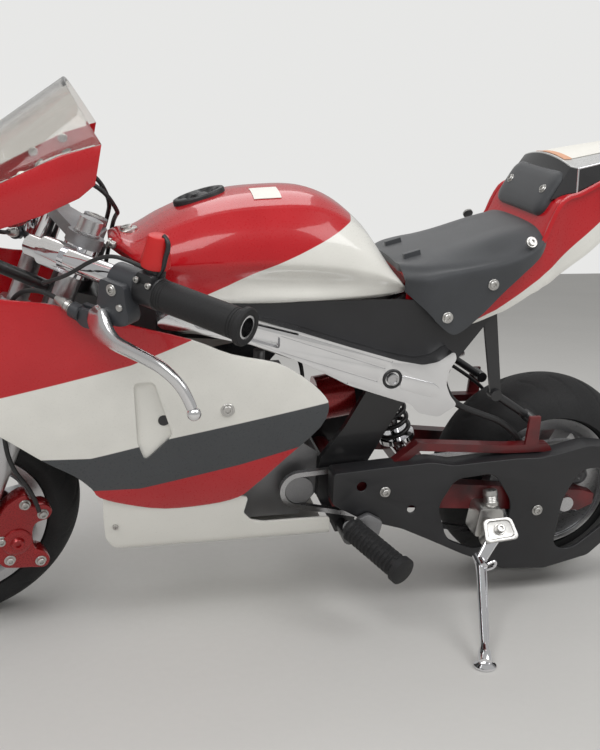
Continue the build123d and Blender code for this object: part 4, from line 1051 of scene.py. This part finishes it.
softenEdges(leftSpar, 0.9, 2, 50)
sparPad = platePiece(spar["pad"], -spar["padHigh"] - spar["outer"], 1 - spar["outer"], corner=5, edge=0.7)
plugX, plugZ = spar["plug"]
plug, plugRing = (
    turnedPiece((plugX, spar[start] - spar["outer"], plugZ), (0, -1, 0), spar[turning])
    for start, turning in (("plugFrom", "plugTurning"), ("ringFrom", "ringTurning"))
)
leftSpar = joinPieces([leftSpar, sparPad])
finishPair(leftSpar, "leftSpar", "rightSpar", "polishedAlloy", "silver_alloy", "frame_spar_")
finishPair(plug, "sparPlug", "sparPlugRight", "blackPlastic", "black_plastic")
finishPair(plugRing, "plugRing", "plugRingRight", "brushedSteel", "steel")

print("scene: bars and controls")
steerDrawn = {"rake": 22, "offset": 28, "wheelHeight": 140}
rake = math.radians(steerDrawn["rake"])
steerBack = Vector((math.cos(rake), 0, -math.sin(rake)))
steerUp = Vector((math.sin(rake), 0, math.cos(rake)))
steerOrigin = steerBack * steerDrawn["offset"] + Vector((0, 0, steerDrawn["wheelHeight"]))
steerFrame = Matrix([*zip(steerBack, (0, 1, 0), steerUp, steerOrigin), (0, 0, 0, 1)])
barStart, barEnd = Vector((-72, -48, 338)), Vector((55.1, -280.6, 377.4))
barRun = (barEnd - barStart).normalized()
barLow = Vector((math.sin(rake), 0, -math.cos(rake)))
barAhead = barLow.cross(barRun).normalized()
barFrame = steerFrame @ Matrix([*zip(barRun, -barAhead, -barLow, barStart), (0, 0, 0, 1)])
barWay = (steerFrame.to_3x3() @ barRun).normalized()
aheadWay = (steerFrame.to_3x3() @ barAhead).normalized()


# a spot by its distance along the left bar, ahead of it and below it
def besideBar(along, ahead=0, below=0):
    return barFrame @ Vector((along, -ahead, -below))


def barSleeve(start, profile, count=48):
    return turnedPiece(besideBar(start), barWay, profile, count)


def barPlate(outline, near, far, corner=0, edge=0):
    plate = platePiece([(along, -below) for along, below in outline], -far, -near, corner, edge)
    return placePiece(plate, barFrame)


def bothBars(obj, title, look, slotName, node=None):
    finishPair(obj, title + "Left", title + "Right", look, slotName, node, body="steering", smooth=40)


grip = {
    "span": (170, 262, 14.8), "rings": [173, 176, 179, 255, 258], "ringDeep": 0.6,
    # from the grip's end: the flange and the open end of the bar
    "end": [(0.2, 16.8), (1.4, 18), (5, 18), (6.6, 16.6), (7, 12), (3, 9.2), (-12, 9.2), (-12, 0.01)],
}
start, end, radius = grip["span"]
profile = [(0, radius - 0.8), (0.8, radius)]
for ring in grip["rings"]:
    low = radius - grip["ringDeep"]
    profile += [(ring - start + x, r) for x, r in ((-0.8, radius), (-0.3, low), (0.3, low), (0.8, radius))]
profile += [(end - start, radius)] + [(end - start + x, r) for x, r in grip["end"]]
bothBars(barSleeve(start, profile, 64), "grip", "gripRubber", "grip_rubber", "grip_")

control = {
    "perch": [
        (116, -6), (146, -6), (148, 12), (152, 22), (150, 31), (140, 35), (124, 38), (112, 46), (104, 50),
        (92, 51), (83, 46), (81, 33), (92, 33), (104, 31), (111, 24), (114, 12),
    ],
    "perchSpan": (7, 24), "perchEdge": 2.2,
    "fork": [(80, 26), (138, 26), (126, 60), (80, 60)], "forkWall": 5.5,
    "clamp": (116, 147, 16.4), "clampBore": 11.2, "barHole": 11,
    "holder": ((88, 20, 40), (76, 20.6, 38.2), 8.2), "screw": (131, 24, 1), "pivot": (141, 24, 15.5),
    "adjuster": ((78, 20.4, 38.4), (56, 22, 32.6)), "adjusterTurning": [
        (0, 6), (3, 6), (3.3, 5.2), (4.2, 5.2), (4.5, 6), (8, 6), (8.3, 5.2), (9.2, 5.2), (9.5, 5.8),
        (14, 5.2), (20, 3.8), (22, 3.4), (22, 0.01),
    ],
    "lever": [  # along the bar, ahead, below, half width, half thickness
        (108, 21, 28, 10, 5), (113, 24, 33, 14.5, 6), (121, 28, 38, 14.5, 6), (130, 31, 42, 11.5, 5.6),
        (140, 34, 44.5, 9, 5), (152, 37, 45.2, 7.4, 4.6), (178, 42, 43.4, 6.4, 4.3),
        (203, 45, 43.4, 6, 4.2), (217, 45.6, 46.5, 5.8, 4.1), (229, 45, 53, 5.5, 4),
        (237, 44, 62, 5.1, 4), (243, 42.6, 73, 4.8, 4),
    ],
    "ball": (245, 42, 78), "ballRadius": 6.5,
}
near, far = control["perchSpan"]
perch = barPlate(control["perch"], near, far, 3.4)
start, end, radius = control["clamp"]
cutAway(perch, barSleeve(start - 60, [(0, control["barHole"]), (200, control["barHole"])]))
cutAway(perch, barPlate(control["fork"], near + control["forkWall"], far - control["forkWall"]))
softenEdges(perch, control["perchEdge"], 3, 45)
clamp = barSleeve(start, [
    (0, control["clampBore"]), (0, radius - 1.5), (1.5, radius), (end - start - 1.5, radius),
    (end - start, radius - 1.5), (end - start, control["clampBore"]),
])
holderStart, holderEnd, holderRadius = control["holder"]
holder = rodPiece(besideBar(*holderStart), besideBar(*holderEnd), holderRadius, 1.5)
bothBars(joinPieces([perch, clamp, holder]), "perch", "perchBlack", "black_plastic", "lever_perch_")
adjusterStart, adjusterEnd = (besideBar(*spot) for spot in control["adjuster"])
fittings = [
    boltPiece(besideBar(*control["screw"]), aheadWay, 5.8, 2.4),
    turnedPiece(besideBar(*control["pivot"]), aheadWay, [(-20, 3.6), (1.2, 3.6), (2, 3), (2.2, 0.01)]),
    turnedPiece(adjusterStart, adjusterEnd - adjusterStart, control["adjusterTurning"], 24),
]
bothBars(joinPieces(fittings), "perchFittings", "boltSteel", "steel")
stations = [tuple(besideBar(*row[:3])) + row[3:] for row in flowing(control["lever"], 5)]
lever = bladePiece(stations, aheadWay, 28, 3)
bpy.ops.mesh.primitive_uv_sphere_add(
    segments=32, ring_count=16, radius=control["ballRadius"] * mm, location=besideBar(*control["ball"]) * mm,
)
ball = bpy.context.object
bpy.ops.object.transform_apply(location=True, rotation=True, scale=True)
bothBars(joinPieces([lever, ball]), "lever", "polishedAlloy", "chrome", "brake_lever_")

switch = {
    "block": [(147, 11.5), (147, 14.6), (148, 15.6), (169, 15.6), (170, 14.6), (170, 11.5)],
    "neck": (158.5, -2.5, -8), "cap": (160, -3.4, -24), "capTop": (162.5, -4.6, -54),
    "neckTurning": [(0, 11.5), (8, 10.5), (12, 10.5), (18, 9.5), (20, 9.5)],
    "base": [(149, -8), (169, -8), (168, -20), (150, -20)], "baseSpan": (-9, 12),
    "clip": [(168, 2, -18), (173, 1, -26), (174, 0, -36), (176, -2, -45), (174, -4, -52), (168, -5, -54.5)],
    "clipRadius": 2.3, "screws": [(152, 14, -13), (166, 14, -11)],
    # the red cap, from its foot and from its top
    "capFoot": [(0, 8), (-1, 12), (0, 13.6), (2, 14), (7, 13.6)],
    "capHead": [(-8, 10.8), (-2, 10), (-0.6, 9.4), (0, 8), (-0.4, 0.01)],
}
neckStart, capStart, capEnd = (besideBar(*switch[spot]) for spot in ("neck", "cap", "capTop"))
switchBody = [
    barSleeve(0, switch["block"]), turnedPiece(neckStart, capStart - neckStart, switch["neckTurning"], 32),
    barPlate(switch["base"], *switch["baseSpan"], 3, 1.4),
    tubePiece([besideBar(*spot) for spot in switch["clip"]], switch["clipRadius"], 6),
]
finishPiece(
    joinPieces(switchBody), "switchBody", "blackPlastic", "black_plastic", "steering", 40, "kill_switch",
)
capRun = capEnd - capStart
capTurning = switch["capFoot"] + [(capRun.length + along, radius) for along, radius in switch["capHead"]]
switchCap = turnedPiece(capStart, capRun, capTurning, 40)
finishPiece(switchCap, "switchCap", "redPlastic", "red_gloss", "steering", 40)
switchScrews = [boltPiece(besideBar(*spot), aheadWay, 3, 2) for spot in switch["screws"]]
finishPiece(joinPieces(switchScrews), "switchScrews", "boltSteel", "steel", "steering")

print("scene: fork top and front brake")
fork = {
    "caps": [(-28, -65, 371), (-28, 65, 371)], "stem": (0, 0, 372), "pinch": [(6, -46, 364), (6, 46, 364)],
    "capTurning": [
        (-2, 13.4), (1.2, 13.4), (1.8, 12.6), (1.8, 10.6), (0.8, 10), (0.8, 6), (4.6, 5.6), (5.2, 4.8),
        (5.2, 0.01),
    ],
    "stemTurning": [(0, 10), (6, 10), (8, 9), (8, 5.4), (3, 5), (3, 0.01)], "stemSides": 6,
}
forkCaps = [turnedPiece(steerFrame @ Vector(spot), steerUp, fork["capTurning"]) for spot in fork["caps"]]
finishPiece(joinPieces(forkCaps), "forkCaps", "brushedSteel", "steel", "steering")
stemBolts = [turnedPiece(steerFrame @ Vector(fork["stem"]), steerUp, fork["stemTurning"], fork["stemSides"])]
for spot in fork["pinch"]:
    outwards = steerFrame.to_3x3() @ Vector((0.75, math.copysign(0.66, spot[1]), 0))
    stemBolts.append(boltPiece(steerFrame @ Vector(spot), outwards, 5.5, 7))
finishPiece(joinPieces(stemBolts), "stemBolt", "boltSteel", "chrome", "steering")

caliper = {
    "outline": [
        (22, 146), (22, 126), (30, 106), (42, 100), (60, 96), (78, 92), (84, 102), (78, 114), (68, 122),
        (66, 140), (70, 154), (84, 158), (89, 168), (82, 177), (68, 180), (62, 194), (50, 192),
        (34, 178),
    ],
    "outer": 79, "inner": 58, "bolts": [(59, 183), (78, 166), (73, 103), (39, 113), (31, 141)],
    "boss": (48, -78, 136), "bossTurning": [
        (-1, 17), (3, 16.4), (5, 14), (5, 8), (8, 7), (9, 6), (9, 3), (7, 3), (7, 0.01),
    ],
}
caliperOutline = flowing(caliper["outline"], 4, closed=True)
caliperBody = platePiece(caliperOutline, -caliper["outer"], -caliper["inner"], edge=2.4)
caliperBoss = turnedPiece(caliper["boss"], (0, -1, 0), caliper["bossTurning"])
# the caliper body is red metal whose red is darkened with painted shade
finishPiece(
    joinPieces([caliperBody, caliperBoss]), "caliperBody", "redMetalPaintedShade", "red_metal", "steering", 40,
    "front_caliper",
)
caliperBolts = [boltPiece((x, -caliper["outer"], z), (0, -1, 0), 6.4, 4.5) for x, z in caliper["bolts"]]
finishPiece(joinPieces(caliperBolts), "caliperBolts", "boltSteel", "steel", "steering")

print("scene: foot pegs and stand")
peg = {
    "root": (444, -112, 137), "tip": (484, -192, 122), "around": 72, "along": 85,
    "radius": 12.4, "ridge": 1.7,
    # from each end, where the sleeve, the ridges and the end flange start, and their radii
    "sleeveFrom": 5, "ridgeFrom": 8, "flangeLong": 9,
    "neck": 10.9, "sleeve": 14.8, "flange": 16.2, "end": 14.6,
    "plate": [(450, 124), (452, 146), (466, 153), (484, 142), (480, 122)], "plateSpan": (-114, -106),
    "bolt": (443, -121, 131), "boltWay": (-0.2, -1, 0.1),
}
pegRun = Vector(peg["tip"]) - Vector(peg["root"])
pegPlace = Matrix.Translation(Vector(peg["root"])) @ turnTo(pegRun)


def pegRadius(along, angle):
    fromTip = pegRun.length - along
    if along > peg["ridgeFrom"] and fromTip > peg["flangeLong"]:
        wave = math.sin(along * 1.05 + 0.9 * math.sin(angle * 4))
        return peg["radius"] + (peg["ridge"] if wave > 0 else 0)
    if fromTip <= peg["flangeLong"]:
        return peg["flange"] if fromTip > 1 else peg["end"]
    return peg["sleeve"] if along > peg["sleeveFrom"] else peg["neck"]


rows = []
for step in range(peg["along"] + 1):
    along = pegRun.length * step / peg["along"]
    ring = [(pegRadius(along, angle), angle) for angle in ringAngles(peg["around"])]
    rows.append([pegPlace @ Vector((r * math.cos(a), r * math.sin(a), along)) for r, a in ring])
pegRubber = skinPiece(rows, around=True, closeEnds=True)
pegPlate = platePiece(peg["plate"], *peg["plateSpan"], corner=4, edge=1)
pegBolt = boltPiece(peg["bolt"], peg["boltWay"], 6.2, 5)
finishPair(pegRubber, "pegRubberLeft", "pegRubberRight", "gripRubber", "grip_rubber", "foot_peg_")
finishPair(pegPlate, "pegPlateLeft", "pegPlateRight", "castAlloy", "cast_alloy")
finishPair(pegBolt, "pegBoltLeft", "pegBoltRight", "boltSteel", "steel")

stand = {
    "pivot": (617, -137, 128), "axis": (0, -0.686, 0.728), "joint": (592, -158, 104),
    "foot": (553, -273.2, 56.9), "sole": (553, -274.4, 50.1),
    "plate": [(-18.5, 13), (18, 14), (22.5, -13), (-21, -16)],
    "inset": [(-14.5, 9.5), (14, 10.5), (17.5, -9.5), (-16.5, -12)], "insetDeep": 1.4,
    "plateSpan": (13.4, 17.4),
    "backPlate": [(600, 114), (640, 116), (634, 150), (604, 152)], "backSpan": (-120, -90),
    "stud": ((624, -100, 163), (626, -107, 137)), "studTurning": [
        (-4, 5), (-3, 8.6), (3, 9.2), (3.4, 8), (5, 9.2), (5.4, 8), (7, 9.2), (7.4, 8), (9, 9.2),
        (9.4, 8), (11, 9.2), (18, 9.2), (19, 7),
    ],
    "bossTurning": [(0, 5.2), (0, 11), (1, 12), (11.4, 12), (12.4, 11), (12.4, 5.2)],
    # share of the run from the boss to the knee, half width, half thickness
    "upper": [(0.1, 8.5, 3.6), (0.4, 7.4, 3.4), (0.75, 6.6, 3.2), (1, 6.6, 3.2), (1.12, 5, 2.6)],
    "hook": [(6, -9, 2), (13, -9, 6), (17, -8, 2), (14, -8, -5), (5, -8, -6)],
    # the lower leg: its top in mm, and the rest in shares of its length
    "lowerTop": [(0, 4.4), (2, 5.6), (12, 5.6), (18, 4.9)],
    "lowerRest": [
        (0.6, 4.6), (0.86, 4.5), (0.9, 5), (0.94, 6.6), (0.98, 7.6), (1.02, 7.8), (1.045, 7.2), (1.06, 5),
        (1.06, 0.01),
    ],
    "shoeTurning": [(0, 11), (0.6, 12), (2.6, 12), (3.4, 10), (5, 7.4), (6, 5), (6, 0.01)],
}
standPivot, standAxis = Vector(stand["pivot"]), Vector(stand["axis"]).normalized()
across = Vector((1, 0, 0))
plateFrame = Matrix([*zip(across, standAxis.cross(across), standAxis, standPivot), (0, 0, 0, 1)])


def standPlatePiece(outline, near, far, corner):
    plate = platePiece(outline, near, far, corner)
    plate.data.transform(Matrix(((1, 0, 0, 0), (0, 0, 1, 0), (0, 1, 0, 0), (0, 0, 0, 1))))
    return placePiece(plate, plateFrame)


def alongStand(along):
    return standPivot + standAxis * along


near, far = stand["plateSpan"]
frontPlate = standPlatePiece(stand["plate"], near, far, 6)
cutAway(frontPlate, standPlatePiece(stand["inset"], far - stand["insetDeep"], far + 4, 5))
softenEdges(frontPlate, 1.2, 3, 45)
studStart, studEnd = (Vector(spot) for spot in stand["stud"])
bracket = [
    frontPlate, boltPiece(alongStand(far - 1.2), standAxis, 7, 6),
    rodPiece(alongStand(-24), standPivot, 11, 1.5), rodPiece(alongStand(-2), alongStand(14), 5, 0.6),
    platePiece(stand["backPlate"], *stand["backSpan"], corner=5, edge=1.4),
    turnedPiece(studStart, studEnd - studStart, stand["studTurning"], 24),
]
finishPiece(joinPieces(bracket), "standBracket", "boltSteel", "chrome", node="stand_bracket")
joint, foot, sole = Vector(stand["joint"]), Vector(stand["foot"]), Vector(stand["sole"])
legTop = alongStand(8.4)
upperRun, leg = joint - legTop, foot - joint
upperStations = [(*(legTop + upperRun * share), wide, thick) for share, wide, thick in stand["upper"]]
lowerTurning = stand["lowerTop"] + [(leg.length * share, radius) for share, radius in stand["lowerRest"]]
standLeg = [
    turnedPiece(alongStand(0.4), standAxis, stand["bossTurning"]),
    bladePiece(upperStations, standAxis, 24, 4),
    rodPiece(joint + Vector((0, 10, 2)), joint + Vector((0, -10, -2)), 6.4, 1),
    tubePiece([joint + Vector(spot) for spot in stand["hook"]], 1.8, 3),
    turnedPiece(joint - leg * 0.03, leg, lowerTurning, 32),
    rodPiece(joint + leg * 0.02 + Vector((6, -2, 0)), joint + leg * 0.84 + Vector((4, -1, 0)), 1.8, 0.5, 16),
    turnedPiece(sole + (foot - sole) * 0.02, foot - sole, stand["shoeTurning"], 40),
]
finishPiece(joinPieces(standLeg), "standLeg", "chromePlate", "chrome", "side_stand", node="stand_leg")

print("scene: cables")
steerCables = {
    "frontBrakeCable": ([
        (-50.3, -108.4, 308.6), (-64.5, -89.0, 308.8), (-78, -64, 286), (-74, -68, 258),
        (-60, -78, 228), (-52, -86, 192), (-47, -91, 150), (-26, -95, 112), (8, -92, 86), (26, -86, 60),
    ], 2.5, "front_brake_cable"),
    "killSwitchLead": ([
        (-5.3, -181.2, 378.6), (-23.7, -170.0, 379.5), (-35.4, -156.4, 375.6), (-45.4, -143.7, 362.6),
        (-53.4, -129.3, 342.0), (-61.0, -115.7, 327.8), (-65.6, -101.8, 318.0),
    ], 2, "kill_switch_lead"),
}
for name, (points, radius, node) in steerCables.items():
    tube = tubePiece([steerFrame @ Vector(point) for point in points], radius, 4)
    finishPiece(tube, name, "cableCover", "cable_cover", "steering", 60, node)
# where each cable from the right bar starts and stops to bend as the steering turns
cableTurns = {
    "throttleCable": ((52, 74, 480), (140, 30, 480)), "rearBrakeCable": ((58, 66, 470), (142, 24, 470)),
}
frameCables = {
    "throttleCable": ([
        (94.6, 182.6, 483.9), (78.1, 182.6, 484.3), (58.9, 159.1, 489.2), (63, 66, 469), (70, 44, 508),
        (100, 26, 534), (140, 18, 536), (170, 14, 522), (184, 20, 494), (181, 46, 472), (172, 64, 440),
        (164, 62, 404), (170, 60, 356), (222, 60, 328), (300, 52, 322), (362, 34, 326), (396, 14, 318),
        (408, 2, 296), (408, 0, 261),
    ], 2.5, "throttle_cable"),
    "rearBrakeCable": ([
        (68.0, 88.7, 445.4), (60.8, 67.0, 448.4), (42, 44, 468), (58, 28, 500), (96, 10, 522),
        (142, 0, 526), (176, -2, 510), (192, 6, 484), (190, 34, 476), (187, 60, 462), (182, 74, 430),
        (176, 76, 400), (184, 76, 352), (228, 76, 338), (300, 72, 340), (380, 64, 344), (450, 60, 344),
        (514, 60, 336), (566, 60, 310), (612, 62, 280), (656, 63, 252), (686, 63, 228), (692, 63, 206),
    ], 2.5, "rear_brake_cable"),
    "breatherHose": ([
        (553, -73, 349), (554, -73, 322), (562, -73, 291), (577, -73, 270), (611, -73, 256),
        (640, -73, 245), (667, -73, 222), (680, -73, 194), (682, -73, 172),
    ], 4, "breather_hose"),
}
for name, (points, radius, node) in frameCables.items():
    tube = tubePiece(points, radius, 4)
    carrier = None if name in cableTurns else "frame"
    finishPiece(tube, name, "cableCover", "cable_cover", carrier, 60, node)
    if name in cableTurns:
        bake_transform(tube)

print("scene: fasteners, fuel cap and labels")
fasteners = {
    # place, direction, radius and height, on the left; the right side mirrors them
    "sides": [
        ((294.3, fairingSpan(294, 300), 300.2), (0, -1, 0), 7.5, 3),
        ((176, -97.5, 152), (0, -1, 0), 3.2, 1.5),
        ((596.2, -98, 423), (0, -1, 0.05), 6.4, 3.4), ((545.4, -98, 386), (0, -1, 0), 6.4, 3.4),
        ((640, -90, 469), (0, -1, 0.6), 6.4, 3.4),
    ],
    "screen": [(134, 552), (100, 537), (40, 512)],
    "washer": (200, 0, 465.5), "washerWay": (-0.25, 0, 1), "washerTurning": [
        (-3, 12), (0.8, 12), (1.6, 11.2), (2.2, 7), (4.4, 6.6), (5, 5.8), (5, 3), (3, 2.8), (3, 0.01),
    ],
}
trimBolts = [boltPiece(*bolt) for bolt in fasteners["sides"]]
trimBolts += [mirrorPiece(obj) for obj in list(trimBolts)]
padWay = lumbarPlace.to_3x3() @ Vector((0, 0, 1))
for side in (-1, 1):
    spot = lumbarPlace @ Vector((side * lumbar["boltAcross"], -1, lumbar["boltHigh"]))
    trimBolts.append(boltPiece(spot, padWay, 5.6, 3))
for side in (-1, 1):
    for x, z in fasteners["screen"]:
        halfSide = noseHalf(x)[2][0] * 0.95
        trimBolts.append(boltPiece((x, side * halfSide, z), (0, side, 0.5), 5.4, 3.4))
trimBolts.append(turnedPiece(fasteners["washer"], fasteners["washerWay"], fasteners["washerTurning"], 40))
finishPiece(joinPieces(trimBolts), "trimBolts", "boltSteel", "chrome")

fuelCap = {
    "place": (279, 0, 503), "tilt": 0.32, "long": 29.5, "wide": 21.5, "scoop": 4.2, "around": 72,
    # size of each ring against the cap, and its height
    "rings": [
        (1, -14), (1, 1.6), (0.97, 3.2), (0.9, 3.8), (0.84, 3.6), (0.8, 3.4), (0.7, 3.3), (0.55, 3.2),
        (0.4, 3.1), (0.25, 3.1), (0.1, 3.1),
    ],
}
capPlace = Matrix.Translation(Vector(fuelCap["place"])) @ turnTo((-fuelCap["tilt"], 0, 1))
rows = []
for size, lift in fuelCap["rings"]:
    spots = []
    for angle in ringAngles(fuelCap["around"]):
        x, y = size * fuelCap["long"] * math.cos(angle), size * fuelCap["wide"] * math.sin(angle)
        scoop = 0
        if lift > 3 and size < 0.84:  # two finger scoops, one each side of the rib
            fade = max(0, 1 - (y / (fuelCap["wide"] * 0.8)) ** 4)
            scoop = swelling(abs(x + 4 * math.copysign(1, y)), fuelCap["scoop"], 12, 8) * fade
        spots.append(capPlace @ Vector((x, y, lift - scoop)))
    rows.append(spots)
cap = skinPiece(rows, around=True, closeEnds=True)
finishPiece(cap, "fuelCap", "blackPlastic", "black_plastic", smooth=50, node="fuel_cap")

labels = {
    "wall": 0.6, "tankX": (332, 362), "tankY": (-14, -48), "tankLift": 0.7,
    "tailAcross": (-0.62, 0.5, 13), "tailLift": 2,
    # piece, look, and where it starts and ends along the tail's deck
    "tail": [("tailLabel", "labelPaper", 0.1, 0.94), ("tailLabelBand", "labelOrange", 0.02, 0.1)],
}


# a point over the top of a shell, from its left half's line
def overShell(halfOf, x, y, lift):
    half = sorted((abs(a), b) for a, b in flowing(halfOf(x), 4) if b > halfOf(x)[2][1])
    for (y0, z0), (y1, z1) in zip(half, half[1:]):
        if y0 <= abs(y) <= y1 and y1 > y0:
            return (x, y, z0 + (z1 - z0) * (abs(y) - y0) / (y1 - y0) + lift)
    return (x, y, half[-1][1] + lift)


tankLabel = skinPiece([
    [overShell(tankHalf, x, y, labels["tankLift"]) for x in between(*labels["tankX"], 9)]
    for y in between(*labels["tankY"], 9)
])
finishPiece(giveWall(tankLabel, labels["wall"]), "tankLabel", "labelPaper", "white_gloss", smooth=0)
for title, look, fromAlong, tillAlong in labels["tail"]:
    tailLabel = giveWall(skinPiece([
        [deckPoint(u, v, labels["tailLift"]) for v in between(*labels["tailAcross"])]
        for u in between(fromAlong, tillAlong, 12)
    ]), labels["wall"])
    finishPiece(tailLabel, title, look, "white_gloss", smooth=30)
